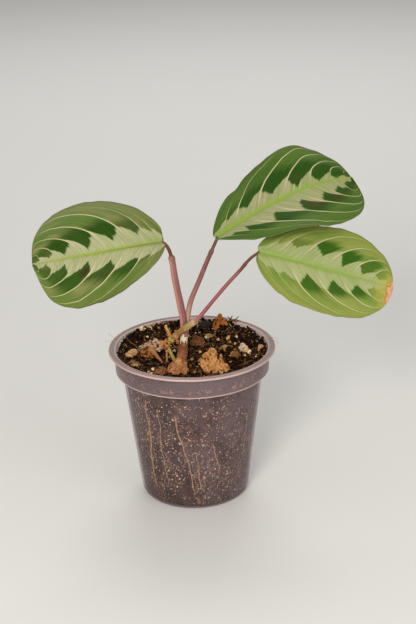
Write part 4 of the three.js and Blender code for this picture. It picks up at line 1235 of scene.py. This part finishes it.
class PLANT_OT_mix(bpy.types.Operator):
    """Model the body of potting mix that fills the pot"""

    bl_idname = "plant.mix"
    bl_label = "Potting mix"

    def execute(self, context):
        rows = MIX.rows
        mix, around, up = grid_piece("mix_body", MIX.columns, rows)
        side = POT.wall + GAP + 0.35
        floor, push, base = POT.floor + GAP, POT.push_up, POT.base_radius
        low, step = POT.base_round + 0.2, POT.collar_foot + 0.2 + GAP
        high = step + 1.4
        rim = POT.collar_foot_radius - side
        path = [(0, floor), (POT.pad_radius - 0.6, floor),
                (POT.pad_radius + push - 0.6, push + floor),
                (POT.foot_inner - push + 0.6, push + floor), (POT.foot_inner + 0.6, floor),
                (base - POT.base_round - 0.4, floor)]
        path += curve_between(path[-1], (base - 2, floor), (base - side - 0.1, low), 3)
        wall = [(lerp(base, POT.body_top_radius, s) - side, lerp(low, step, s))
                for s in steps_to(52)]
        collar = [(rim - 1, step + 0.5), (rim - 0.2, high)]
        collar += [(rim, lerp(high, MIX.edge - 0.5, s)) for s in steps_to(8)]
        path += wall + collar
        start = len(path)
        path += [(rim * (1 - s) ** 0.9, MIX.edge) for s in np.linspace(0, 1, rows + 1 - start)]
        row = np.rint(up * rows).astype(int)
        radius, z = np.array(path)[row].T
        turn = FULL_TURN * around
        x, y = radius * np.cos(turn), radius * np.sin(turn)
        top = row >= start
        seam = np.where(around > 0.9999, 0.0, turn)  # so that both edges of the grid meet
        fine = crumbly(radius * np.cos(seam), radius * np.sin(seam), z)
        level = mix_height(x, y)
        share = (z - step - 1.4) / (MIX.edge - step - 1.4)
        z = np.where(~top & (share > 0), lerp(high, level - 0.4, share), z)
        z = np.where(top, level - 0.25 + 1.25 * fine * smooth(rim - radius, 0, 2), z)
        skin = (row >= start - len(wall) - len(collar)) & ~top
        dent = np.where(skin, 0.03 * fine - 0.05, 0) * smooth(z, 4, 9)
        x, y = (radius + dent) * np.cos(turn), (radius + dent) * np.sin(turn)
        write_points(mix, np.stack([x, y, z], 1))
        close_up(mix, 0.02)
        set_in(mix, "mix", mix_material(context.scene.plant_mix), "potting_mix")
        return {"FINISHED"}


def chunk(name, detail, seed, rough=0.5):
    """One small broken lump, about 1 mm in radius, to be copied."""
    deselect()
    bpy.ops.mesh.primitive_ico_sphere_add(subdivisions=detail, radius=MM)
    piece = named(name)
    for vertex in piece.data.vertices:
        at = vertex.co / MM
        vertex.co *= 1 + rough * noise.noise(at * 1.3 + Vector((seed * 9.1, seed, 0)))
    piece.data.update()
    return piece


def loose_places(random, count, spread, low, high, sink, power):
    """Places, sizes and turns of loose pieces on the mix, as matrices."""
    matrices = []
    for _ in range(count):
        angle, out = random.uniform(0, FULL_TURN), spread * math.sqrt(random.uniform())
        x, y = out * math.cos(angle), out * math.sin(angle)
        size = lerp(low, high, random.uniform() ** power)
        at = Vector((x, y, float(mix_height(x, y)) + size * (0.5 - sink) + 0.2)) * MM
        shape = (size, size * random.uniform(0.6, 1), size * random.uniform(0.5, 0.9), 1)
        spin = Matrix.Rotation(random.uniform(0, ABOUT_A_TURN), 4, "Z")
        tip = Matrix.Rotation(random.uniform(-0.6, 0.6), 4, "X")
        matrices.append(Matrix.Translation(at) @ (spin @ tip) @ Matrix.Diagonal(shape))
    return matrices


class PLANT_OT_crumbs(bpy.types.Operator):
    """Scatter the loose crumbs and small white grains on the mix"""

    bl_idname = "plant.crumbs"
    bl_label = "Crumbs and grains"

    def execute(self, context):
        settings = context.scene.plant_mix
        random = np.random.default_rng(SEED)
        masters = [chunk("crumb", 1, seed) for seed in range(4)]
        share = settings.crumbs // len(masters)
        dark, tan, white = [], [], []
        for master in masters:
            places = loose_places(random, int(share * DARK_SHARE), *DARK_CRUMBS)
            dark += copies(master, places, random.uniform(0, 1, len(places)))
            places = loose_places(random, int(share * TAN_SHARE), *TAN_CRUMBS)
            tan += copies(master, places, random.uniform(0, 1, len(places)))
        for seed in range(3):
            master = chunk("grain", 3, seed + 11, 1.1)
            masters.append(master)
            places = loose_places(random, settings.grains // 3, *WHITE_GRAINS)
            places += [Matrix.Translation(Vector(at) * MM) @ Matrix.Rotation(0.9 * seed, 4, "X")
                       @ Matrix.Scale(size, 4) for at, size in GRAINS[seed::3]]
            white += copies(master, places, random.uniform(0.3, 1, len(places)))
        for master in masters:
            bpy.data.objects.remove(master)
        for name, pieces, slot in (("crumbs_dark", dark, "mix"), ("crumbs_tan", tan, "mix"),
                                   ("grains_white", white, "perlite")):
            piece = join(name, pieces)
            bpy.ops.object.shade_smooth_by_angle(angle=math.radians(45))
            set_in(piece, slot, toned_look(name.replace("_", " ")))
        return {"FINISHED"}


class PLANT_OT_fibres(bpy.types.Operator):
    """Lay the coir fibres and small twigs on the mix and over the rim"""

    bl_idname = "plant.fibres"
    bl_label = "Fibres and twigs"

    def fibre(self, points, radius, tone, sides=4, rings=9):
        piece = tube("fibre", points, lambda along, _: radius * (1 - 0.4 * along), sides, rings)
        set_tone(piece.data, tone)
        return piece

    def execute(self, context):
        random = np.random.default_rng(SEED + 1)
        made = []
        for _ in range(context.scene.plant_mix.fibres):
            angle = random.uniform(0, FULL_TURN)
            out = FIBRES.spread * math.sqrt(random.uniform())
            start = np.array([out * math.cos(angle), out * math.sin(angle)])
            heading, length = random.uniform(0, ABOUT_A_TURN), random.uniform(*FIBRES.lengths)
            bend = random.uniform(-FIBRES.bend, FIBRES.bend)
            points = []
            for share in (0, 0.33, 0.66, 1):
                turn = heading + bend * share * 2
                x, y = start + length * share * np.array([math.cos(turn), math.sin(turn)])
                if math.hypot(x, y) > FIBRES.limit:
                    x, y = np.array([x, y]) * FIBRES.limit / math.hypot(x, y)
                arch = random.uniform(0, FIBRES.arch) * math.sin(math.pi * share)
                lift = FIBRES.lift + arch
                points.append((x, y, float(mix_height(x, y)) + lift))
            made.append(self.fibre(points, random.uniform(*FIBRES.radii), random.uniform()))
        made += [self.fibre(points, 0.1, 0.6, 5, 16) for points in RIM_FIBRES]
        set_in(join("coir_fibres", made), "mix", toned_look("Coir fibres"))
        twigs = [self.fibre(*twig, 8, 14) for twig in TWIGS]
        set_in(join("twigs", twigs), "bark", toned_look("Twigs"))
        return {"FINISHED"}


class PLANT_OT_roots(bpy.types.Operator):
    """Model the roots that run down inside the wall"""

    bl_idname = "plant.roots"
    bl_label = "Roots"

    def path(self, points, wander, sway=0.5):
        """Points just inside the wall, swaying a little as they go down."""
        angles, heights = zip(*points)
        shares = np.linspace(0, 1, len(points))
        line = []
        for share in np.linspace(0, 1, 19):
            height = np.interp(share, shares, heights)
            turn = 1.6 * math.sin(5 * share + wander) + 0.8 * math.sin(11 * share + 2 * wander)
            turn += 0.8 * math.sin(31 * share + 3 * wander)
            angle = math.radians(np.interp(share, shares, angles) + sway * turn)
            bury = 1.8 * abs(2 * share - 1) ** 12
            radius = body_radius(height) - POT.wall - 0.15 - 0.6 - bury
            line.append((radius * math.cos(angle), radius * math.sin(angle), height))
        return line

    def execute(self, context):
        material = stalk_look("Root")
        for i, (name, (points, thick)) in enumerate(ROOTS.items()):
            parts = [tube("root", self.path(points, i), lambda along, _: thick
                          * (1 - 0.35 * along) * (1 + 0.2 * np.sin(90 * along + i)), 9, 110)]
            for j in range(3):
                share, side = 0.3 + 0.2 * j, 1 if (i + j) % 2 else -1
                angle, height = (lerp(a, b, share) for a, b in zip(points[0], points[-1]))
                tip = (angle + side * (5 + 2 * j), max(6, height - 12 - 3 * j))
                line = self.path(((angle, height), tip), i + j + 4, 1)
                parts.append(tube("rootlet", line, lambda along, _: 0.19 * (1 - 0.4 * along),
                                  6, 24))
            root = join(name + "_skin", parts)
            set_in(root, "root", material, *([] if name in UNPACKED else [name]))
        return {"FINISHED"}


# ---- leaves -----------------------------------------------------------------------------------


def leaf_frame(leaf):
    """The blade's own directions: along its chord, to its left, and up from its face."""
    heading, climb = math.radians(leaf.heading), math.radians(leaf.climb)
    along = Vector((math.cos(climb) * math.cos(heading), math.cos(climb) * math.sin(heading),
                    math.sin(climb)))
    left = Vector((0, 0, 1)).cross(along).normalized()
    left.rotate(Matrix.Rotation(math.radians(leaf.roll), 3, along))
    return along, left, along.cross(left)


def half_width(half, place, bumps):
    """Half width in millimetres at each share of the length."""
    width, rise, fall, _, phase = half
    widest = rise / (rise + fall)
    peak = widest**rise * (1 - widest) ** fall
    inside = np.clip(place, 0, 1)
    shaped = width * inside**rise * (1 - inside) ** fall / peak
    for at, spread, height in bumps:
        shaped = shaped + height * np.exp(-(((inside - at) / spread) ** 2))
    ripple = 0.14 * np.sin(37 * inside + 9 * phase) + 0.08 * np.sin(71 * inside + 5 * phase)
    shaped = shaped + ripple * smooth(inside, 0.04, 0.14) * smooth(1 - inside, 0.04, 0.12)
    least = lerp(BLADE.base_half_width, BLADE.tip_half_width, inside)
    return np.maximum(shaped, least * np.sqrt(np.clip(inside / BLADE.base_rounding, 0, 1)))


def vein_run(start, reach):
    """How far along the chord a vein that leaves the midrib at start has come at that reach."""
    inside = np.maximum(start, 0)
    near = np.minimum(0.25 + 0.9 * inside**2, 0.85)
    late = np.minimum(0.4 + 0.5 * inside, 0.97 - near)
    power = np.maximum(5 - 3.5 * inside, 2.2)
    return start + (1 - inside) * (near * reach + late * reach**power)


def vein_count(leaf, place, reach, right):
    """Which vein, counted from the base, passes through each point of the blade."""
    starts = np.linspace(-0.72, 1, 900)
    first = 0.01
    inside = np.clip(starts - first, 0, 0.99) ** (1 / 1.4)
    counts = np.where(starts > first, VEIN_COUNT * 2 / math.pi * np.arcsin(inside),
                      (starts - first) / 0.09)
    result = np.empty_like(place)
    for value in np.unique(np.round(reach, 5)):
        here = np.abs(reach - value) < 2e-5
        result[here] = np.interp(place[here], vein_run(starts, value), counts)
    result = result + np.where(right, leaf.leads[1], leaf.leads[0])
    spread = leaf.fan * smooth(reach, 0.3, 0.95)
    return (result + leaf.fan_centre * spread) / (1 + spread)


def blade_points(leaf, place, across, below, quilt):
    """Points of the blade. below is 0 on the upper face and 1 on the lower one."""
    left = across >= 0
    _, _, _, fold, phase = (np.where(left, a, b) for a, b in zip(*leaf.halves))
    reach = np.abs(across)
    wide = [half_width(half, place, bumps) for half, bumps in zip(leaf.halves, leaf.bumps)]
    out = reach * np.where(left, *wide)
    hump = 4 * place * (1 - place) * (1 + leaf.skew * (1 - 2 * place))
    count = vein_count(leaf, place, reach, ~left)
    swell = quilt * np.abs(np.sin(math.pi * count)) ** 0.8 * np.sin(math.pi * reach)
    near_midrib = np.exp(-((out / BLADE.midrib_width) ** 2)) * (1 - place)
    waving = np.sin(FULL_TURN * (2 * place + leaf.wave_start + phase))
    height = fold * out - leaf.curl * out * out / 30 + leaf.wave * reach**3 * waving
    height += 0.18 * reach**4 * np.sin(57 * place + 3 * phase)
    height += swell * smooth(place, 0, 0.1) - BLADE.groove * near_midrib
    closing = (1 - reach**6) * smooth(place, 0, 0.012) * smooth(1 - place, 0, 0.012)
    height -= below * closing * (BLADE.thickness + BLADE.keel * near_midrib)
    turn = math.radians(leaf.twist) * (place - 0.5)
    side = np.sign(across) * out
    sway = leaf.sway * hump * (1 + (leaf.midrib_sway - 1) * (1 - reach) ** 2)
    sideways = side * np.cos(turn) - height * np.sin(turn) + sway
    upwards = side * np.sin(turn) + height * np.cos(turn) + leaf.arch * hump
    lobe = leaf.lobes * np.sin(0.75 * math.pi * reach) * np.exp(-place / BLADE.lobe_end)
    lobe = lobe * smooth(place, 0, 0.6 * BLADE.base_rounding)
    along, to_left, up = (np.array(direction) for direction in leaf_frame(leaf))
    run = leaf.length * place - lobe
    points = np.array(leaf.base) + run[:, None] * along + sideways[:, None] * to_left
    return points + upwards[:, None] * up


def two_faced(around):
    """Which face of a folded grid each column is on, and its share across, from 1 to -1."""
    below = around > 0.5
    return below, np.where(below, 4 * around - 3, 1 - 4 * around)


def crowded(up):
    """Rows of a grid drawn together towards both ends."""
    return (1 - np.cos(math.pi * up)) / 2


class PLANT_OT_blades(bpy.types.Operator):
    """Model the three leaf blades with their quilting and pattern"""

    bl_idname = "plant.blades"
    bl_label = "Leaf blades"

    def execute(self, context):
        settings = context.scene.plant_leaves
        for name, leaf in LEAVES.items():
            blade, around, up = grid_piece("blade_" + name, BLADE.columns, BLADE.rows)
            below, across = two_faced(around)
            write_points(blade, blade_points(leaf, crowded(up), across, below.astype(float),
                                             settings.quilt / MM))
            self.map_veins(blade, leaf)
            close_up(blade, 0.01)
            place, across = np.array(BURN.at)[:, None]
            tip = Vector(blade_points(leaf, place, across, np.zeros(1), 0)[0])
            along, to_left, _ = leaf_frame(leaf)
            burn_at = (tip + BURN.on[0] * along + BURN.on[1] * to_left) * MM
            set_in(blade, "leaf_blade", blade_materials(settings, name, burn_at), "leaf_" + name)
        return {"FINISHED"}

    def map_veins(self, blade, leaf):
        """Writes the vein count and the share across into the UV map, face by face."""
        mesh = blade.data
        values = np.empty(len(mesh.loops) * 2)
        mesh.uv_layers[0].data.foreach_get("uv", values)
        corners = values.reshape(-1, 4, 2)
        around, up = corners[..., 0], corners[..., 1]
        below = around.mean(1) > 0.5
        across = np.where(below[:, None], 4 * around - 3, 1 - 4 * around)
        right = np.repeat(across.mean(1) < 0, 4)
        count = vein_count(leaf, crowded(up).ravel(), np.abs(across).ravel(), right)
        share = (count.reshape(up.shape) - PHASE_SPAN[0]) / PHASE_SPAN[1]
        flat = np.stack([share, (across + 1) / 2], -1).ravel()
        mesh.uv_layers[0].data.foreach_set("uv", flat)
        mesh.polygons.foreach_set("material_index", below.astype(np.int32))


# ---- shoots -----------------------------------------------------------------------------------


def petiole_points(name):
    """The petiole's own points, then on into the foot of its blade."""
    leaf = LEAVES[name]
    return [*PETIOLES[name].points, tuple(Vector(leaf.base) + leaf_frame(leaf)[0])]


def petiole_radius(name, ridge=0.0):
    petiole = PETIOLES[name]
    length = smooth_path(petiole_points(name), 50)[1]
    reach = petiole.joint_length

    def radius(along, around):
        left = (1 - along) * length
        narrowing = smooth(left, reach - 1.2, reach + 1.4)
        shoulder = 0.12 * np.exp(-(((left - reach - 1.6) / 1.5) ** 2))
        plain = lerp(petiole.joint, lerp(*petiole.radii, along) * (1 + shoulder), narrowing)
        turn = 2 * np.pi * np.asarray(around)
        wing = ridge * narrowing * np.exp(-((np.sin((turn - 0.6) / 2) / 0.16) ** 2))
        return plain * (1 + wing + 0.012 * np.sin(5 * turn) + 0.015 * np.sin(23 * along))

    return radius


class PLANT_OT_shoots(bpy.types.Operator):
    """Model the stem and the three petioles"""

    bl_idname = "plant.shoots"
    bl_label = "Stem and petioles"

    def execute(self, context):
        stem = tube("stem_main", STEM, between(STEM_RADII), 24, 40)
        set_in(stem, "shoot_main", stalk_look("Stem"), "shoot_main")
        for name, look in PETIOLES.items():
            petiole = tube("petiole_" + name, petiole_points(name), petiole_radius(name, 0.1),
                           28, 110)
            material = stalk_material("Petiole " + name, look.stops, look.streak, around=5,
                                      along=7, seed=look.seed, roughness=0.42,
                                      stripe=look.stripe)
            set_in(petiole, look.shoot, material, look.shoot)
        return {"FINISHED"}


def oval(wide, thin, seed):
    """A flat leaf-like bar's radius, narrowing to both ends, with a few ribs."""

    def radius(along, around):
        turn = FULL_TURN * np.asarray(around)
        swell = np.sin(math.pi * (0.06 + 0.86 * np.clip(along, 0, 1))) ** 0.8
        flat = wide * thin / np.hypot(thin * np.cos(turn), wide * np.sin(turn))
        return flat * swell * (1 + 0.12 * np.sin(7 * turn + seed)
                               + 0.1 * np.sin(13 * along + seed))

    return radius


class PLANT_OT_side_shoot(bpy.types.Operator):
    """Model the side stalk with its knobby node and dry stubs"""

    bl_idname = "plant.side_shoot"
    bl_label = "Side shoot"

    def execute(self, context):
        shoot = "shoot_side"
        stalk = tube("side_stalk", SIDE_STALK, between(SIDE_STALK_RADII), 14, 50)
        set_in(stalk, shoot, stalk_look("Side stalk"), shoot)
        dry = stalk_look("Dry stalk")
        for i, (points, *radii) in enumerate(DEAD_STALKS):
            stub = tube(f"dry_stalk_{i + 1}", points, lambda along, around: lerp(*radii, along)
                        * (1 + 0.12 * np.sin(19 * along + ABOUT_A_TURN * np.asarray(around))
                           + 0.1 * np.sin(43 * along)), 14, 60)
            roughen(stub, 0.3, 1.3, i + 3)
            set_in(stub, shoot, dry, shoot)
        node = weather(lump_piece("side_node", NODE_KNOB), (0.5, 1.6, 5))
        set_in(node, shoot, lump_look("Olive node"), shoot)
        papery = lump_look("Dry bract")
        for i, (points, wide, thin) in enumerate(BRACTS):
            bract = tube(f"dry_bract_{i + 1}", points, oval(wide, thin, i), 30, 46)
            roughen(bract, 0.35, 1.3, i + 8)
            set_in(bract, shoot, papery, shoot)
        return {"FINISHED"}


def sleeve(name, points, radius, sheath):
    """A dry sheath: an open sleeve with ribs and a torn far edge."""
    start, end, seed = sheath.start, sheath.end, sheath.seed

    def outer(along, turn):
        share = np.clip((along - start) / (end - start), 0, 1)
        angle = FULL_TURN * np.asarray(turn)
        ribs = 0.11 * np.sin(9 * angle + 3 * share) + 0.08 * np.sin(16 * angle + seed)
        ribs = ribs + 0.09 * np.sin(23 * share + 2 * angle + seed)
        return radius(along, turn) + GAP + np.interp(share, *sheath.proud) + ribs

    def tear(turn):
        angle = FULL_TURN * turn
        saw = np.sin(3 * angle + seed) + 0.8 * np.sin(7 * angle + 2 * seed)
        return sheath.jag * (saw + 0.6 * np.sin(17 * angle))

    return tube(name, points, outer, 72, 60, start, end, tear)


class PLANT_OT_sheaths(bpy.types.Operator):
    """Model the two dry papery sheaths"""

    bl_idname = "plant.sheaths"
    bl_label = "Dry sheaths"

    def execute(self, context):
        main = sleeve("sheath_main", STEM, between(STEM_RADII), MAIN_SHEATH)
        side = sleeve("sheath_side", petiole_points("lower"), petiole_radius("lower"),
                      SIDE_SHEATH)
        for piece, rough, look, node in ((main, 0.4, "Main sheath", "sheath_main_dry"),
                                         (side, 0.16, "Side sheath", "sheath_side_dry")):
            roughen(piece, rough, 2.4, 9)
            roughen(piece, rough * 0.6, 0.9, 10)
            apply_modifier(piece, "SOLIDIFY", thickness=0.3 * MM, offset=-1)
            bpy.ops.object.shade_smooth()
            set_in(piece, "dry_sheath", stalk_look(look), node)
        return {"FINISHED"}


# ---- what lies on the mix ---------------------------------------------------------------------


def lump_piece(name, lump):
    """A round lump ready to be roughened."""
    at, radii, turn = lump
    deselect()
    detail = 6 if max(radii) > 5 else 5
    bpy.ops.mesh.primitive_ico_sphere_add(subdivisions=detail, radius=MM)
    piece = named(name)
    turning = np.array(Matrix.Rotation(math.radians(turn), 3, "Z"))
    points = (read_points(piece) / MM * np.array(radii)) @ turning.T
    write_points(piece, points + np.array(at))
    return piece


def cluster(name, lump, count, seed):
    """Small lumps grown together into one rough piece."""
    at, radii, turn = lump
    random = np.random.default_rng(SEED + seed)
    turning = np.array(Matrix.Rotation(math.radians(turn), 3, "Z"))
    parts = []
    for _ in range(count):
        away = random.normal(size=3)
        away *= 0.62 / np.linalg.norm(away)
        size = random.uniform(0.32, 0.52) * np.mean(radii)
        parts.append(lump_piece("part", (turning @ (away * radii) + at,
                                         size * random.uniform(0.7, 1.2, 3),
                                         random.uniform(0, 360))))
    piece = join(name, parts)
    apply_modifier(piece, "REMESH", mode="VOXEL", voxel_size=0.2 * MM)
    return piece


class PLANT_OT_bark(bpy.types.Operator):
    """Model the bark lumps and broken flakes"""

    bl_idname = "plant.bark"
    bl_label = "Bark"

    def flake(self, name, flake):
        deselect()
        bpy.ops.mesh.primitive_circle_add(vertices=len(flake.outline), radius=MM,
                                          fill_type="NGON")
        piece = named(name)
        lean = Matrix.Rotation(math.radians(flake.lean), 3, "X")
        for vertex, (x, up) in zip(piece.data.vertices, flake.outline):
            vertex.co = (lean @ Vector((x, up, 0)) + Vector(flake.foot)) * MM
        activate(piece)
        bpy.ops.object.mode_set(mode="EDIT")
        bpy.ops.mesh.select_all(action="SELECT")
        depth = lean @ Vector((0, 0, flake.thickness)) * MM
        bpy.ops.mesh.extrude_region_move(TRANSFORM_OT_translate={"value": depth})
        bpy.ops.mesh.select_all(action="SELECT")
        bpy.ops.mesh.normals_make_consistent(inside=False)
        bpy.ops.object.mode_set(mode="OBJECT")
        apply_modifier(piece, "REMESH", mode="VOXEL", voxel_size=0.32 * MM)
        apply_modifier(piece, "SMOOTH", factor=0.7, iterations=7)
        return piece

    def execute(self, context):
        brown, corm, orange, olive, light, stone = (lump_look(name) for name in (
            "Bark", "Dry corm", "Orange bark", "Olive bark", "Light bark", "Stone"))
        for i, (name, lump) in enumerate(BARK_LUMPS.items()):
            piece = weather(lump_piece(name + "_skin", lump), (1.3, 4.2, i + 2),
                            (0.5, 1.3, i + 12, 4, 0.7, 1.9))
            set_in(piece, "bark", corm if name == "bark_front_left" else brown, name)
        for i, (name, bit) in enumerate(LOOSE_BITS.items()):
            piece = weather(lump_piece(name, bit), (0.8, 2.4, i + 61),
                            (0.3, 0.9, i + 71, 4, 0.5, 1.2))
            set_in(piece, "bark", stone if name == "stone_back" else olive)
        for i, (name, flake) in enumerate(BARK_FLAKES.items()):
            piece = weather(self.flake(name + "_skin", flake), (0.9, 4.2, i + 21),
                            (0.5, 1.4, i + 31, 4, 0.5, 2.1))
            set_in(piece, "bark", light if "front" in name else orange, name)
        return {"FINISHED"}


class PLANT_OT_perlite(bpy.types.Operator):
    """Model the loose perlite lumps"""

    bl_idname = "plant.perlite"
    bl_label = "Perlite"

    def execute(self, context):
        cream, white = lump_look("Cream perlite"), lump_look("Perlite")
        for i, (name, lump) in enumerate(PERLITE_LUMPS.items()):
            piece = weather(cluster(name + "_skin", lump, 16, i), (0.35, 1.5, i + 41),
                            (0.3, 0.8, i + 51, 3, 1.0, 1.5))
            set_in(piece, "perlite", white if name == "perlite_right" else cream, name)
        return {"FINISHED"}


class PLANT_OT_dead_leaf(bpy.types.Operator):
    """Model the shrivelled dead leaf with its stalk"""

    bl_idname = "plant.dead_leaf"
    bl_label = "Dead leaf"

    def crumpled(self, name, seed, centre, length, half_width, turn, tilt, curl):
        """A thin shrivelled piece of blade; angles in degrees, lengths in millimetres."""
        fold, around, up = grid_piece(name, 110, 90)
        below, across = two_faced(around)
        width = half_width * np.sin(math.pi * (0.08 + 0.84 * up)) ** 0.7
        width = width * (1 + 0.16 * np.sin(23 * up + 2 * np.sign(across) + seed))
        crumple = 0.9 * np.sin(7 * up + 4 * across) + 0.6 * np.sin(11 * across + seed)
        crumple += 0.4 * np.sin(26 * up + 9 * across) + 0.3 * np.sin(31 * across + 8 * up)
        height = curl * across**2 + crumple
        ends = smooth(up, 0, 0.03) * smooth(1 - up, 0, 0.03)
        height -= below * 0.45 * (1 - np.abs(across) ** 10) * ends
        points = np.stack([(up - 0.5) * length, across * width, height], 1)
        turning = Matrix.Rotation(math.radians(turn), 3, "Z")
        turning = turning @ Matrix.Rotation(math.radians(tilt), 3, "X")
        write_points(fold, points @ np.array(turning).T + np.array(centre))
        close_up(fold, 0.01)
        roughen(fold, 0.45, 1.8, seed)
        return fold

    def execute(self, context):
        pale, tan = lump_look("Dead leaf"), lump_look("Dead leaf fold")
        for i, given in enumerate(DEAD_FOLDS):
            fold = self.crumpled(f"dead_fold_{i + 1}", i, *given)
            set_in(fold, "dead_leaf", tan if i == 1 else pale, "dead_leaf")
        stalk = tube("dead_blade_stalk", DEAD_LEAF_STALK, lambda along, around:
                     lerp(*DEAD_LEAF_STALK_RADII, along)
                     * (1 + 0.1 * np.sin(21 * along + 3 * np.asarray(around) * ABOUT_A_TURN)),
                     16, 50)
        roughen(stalk, 0.3, 1.6, 3)
        set_in(stalk, "dead_leaf", stalk_look("Dead leaf stalk"), "dead_leaf")
        return {"FINISHED"}


# ---- stage ------------------------------------------------------------------------------------

# Lights: where each stands and how wide it is in metres, its power in watts and its colour.
LIGHTS = {
    "Key light": ((-0.32, -1.25, 0.78), 0.5, 15.5, (1, 0.97, 0.93)),
    "Fill light": ((0.9, -0.9, 0.5), 0.9, 4, (1, 0.98, 0.96)),
    "Top light": ((0.1, 1.3, 1.4), 1.2, 12, (1, 1, 1)),
}
AIM = Vector((0, 0, 0.12))
ROOM = Sizes(colour=(0.88, 0.88, 0.87, 1), strength=0.45)
# The camera as fitted to the pot's circles: place in millimetres, angles in radians.
CAMERA = Sizes(at=(0, -892.91, 478.785), down=0.375824744, pan=0.012446304, roll=-0.0233069475)


class PLANT_OT_stage(bpy.types.Operator):
    """Set the pale floor, the soft lights and the camera"""

    bl_idname = "plant.stage"
    bl_label = "Stage"

    def execute(self, context):
        scene = context.scene
        settings = scene.plant_stage
        deselect()
        bpy.ops.mesh.primitive_plane_add(size=16, location=(0, 0, 0))
        floor = named("floor")
        material, n = new_material("Floor")
        tint = tuple(settings.floor)
        n.surface(n.mix(n.noise(n.place, 3), tint, shaded(tint, 0.97)), 0.85,
                  Specular_IOR_Level=0.2)
        floor.data.materials.append(material)
        for name, (at, size, power, colour) in LIGHTS.items():
            bpy.ops.object.light_add(type="AREA", location=at)
            light = bpy.context.object
            light.name = name
            light.data.shape = "DISK"
            light.data.size, light.data.energy, light.data.color = size, power, colour
            light.rotation_euler = (AIM - Vector(at)).to_track_quat("-Z", "Y").to_euler()
        scene.world = bpy.data.worlds.new("Room")
        scene.world.use_nodes = True
        background = scene.world.node_tree.nodes["Background"]
        background.inputs["Color"].default_value = ROOM.colour
        background.inputs["Strength"].default_value = ROOM.strength
        scene.view_settings.view_transform = "Standard"
        self.camera(scene, settings.lens)
        return {"FINISHED"}

    def camera(self, scene, lens):
        bpy.ops.object.camera_add(location=[value * MM for value in CAMERA.at])
        camera = bpy.context.object
        camera.name = "Camera"
        camera.data.lens = lens
        camera.data.sensor_width = 36
        camera.data.sensor_fit = "AUTO"
        camera.data.clip_start, camera.data.clip_end = 0.01, 50
        down, pan, roll = CAMERA.down, CAMERA.pan, CAMERA.roll
        ahead = Vector((math.sin(pan) * math.cos(down), math.cos(pan) * math.cos(down),
                        -math.sin(down)))
        right = Vector((math.cos(pan), -math.sin(pan), 0))
        up = right.cross(ahead)
        x_axis = math.cos(roll) * right + math.sin(roll) * up
        y_axis = -math.sin(roll) * right + math.cos(roll) * up
        camera.rotation_euler = Matrix((x_axis, y_axis, -ahead)).transposed().to_euler()
        scene.camera = camera


OPERATORS = [
    PLANT_OT_stage, PLANT_OT_pot, PLANT_OT_mix, PLANT_OT_crumbs, PLANT_OT_fibres,
    PLANT_OT_roots, PLANT_OT_blades, PLANT_OT_shoots, PLANT_OT_side_shoot, PLANT_OT_sheaths,
    PLANT_OT_bark, PLANT_OT_perlite, PLANT_OT_dead_leaf,
]
SETTINGS = {
    "plant_pot": PotSettings,
    "plant_leaves": LeafSettings,
    "plant_mix": MixSettings,
    "plant_stage": StageSettings,
}


class PLANT_PT_panel(bpy.types.Panel):
    bl_label = "Potted prayer plant"
    bl_idname = "PLANT_PT_panel"
    bl_space_type = "VIEW_3D"
    bl_region_type = "UI"
    bl_category = "Plant"

    def draw(self, context):
        for name, group in SETTINGS.items():
            box = self.layout.box()
            for key in group.__annotations__:
                box.prop(getattr(context.scene, name), key)
        for operator in OPERATORS:
            self.layout.operator(operator.bl_idname)


def register():
    for kind in (*SETTINGS.values(), *OPERATORS, PLANT_PT_panel):
        bpy.utils.register_class(kind)
    for name, group in SETTINGS.items():
        setattr(bpy.types.Scene, name, PointerProperty(type=group))


def unregister():
    for name in SETTINGS:
        delattr(bpy.types.Scene, name)
    for kind in reversed((*SETTINGS.values(), *OPERATORS, PLANT_PT_panel)):
        bpy.utils.unregister_class(kind)


def main():
    register()
    for operator in OPERATORS:
        family, name = operator.bl_idname.split(".")
        getattr(getattr(bpy.ops, family), name)()
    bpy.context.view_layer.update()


if __name__ == "__main__":
    main()
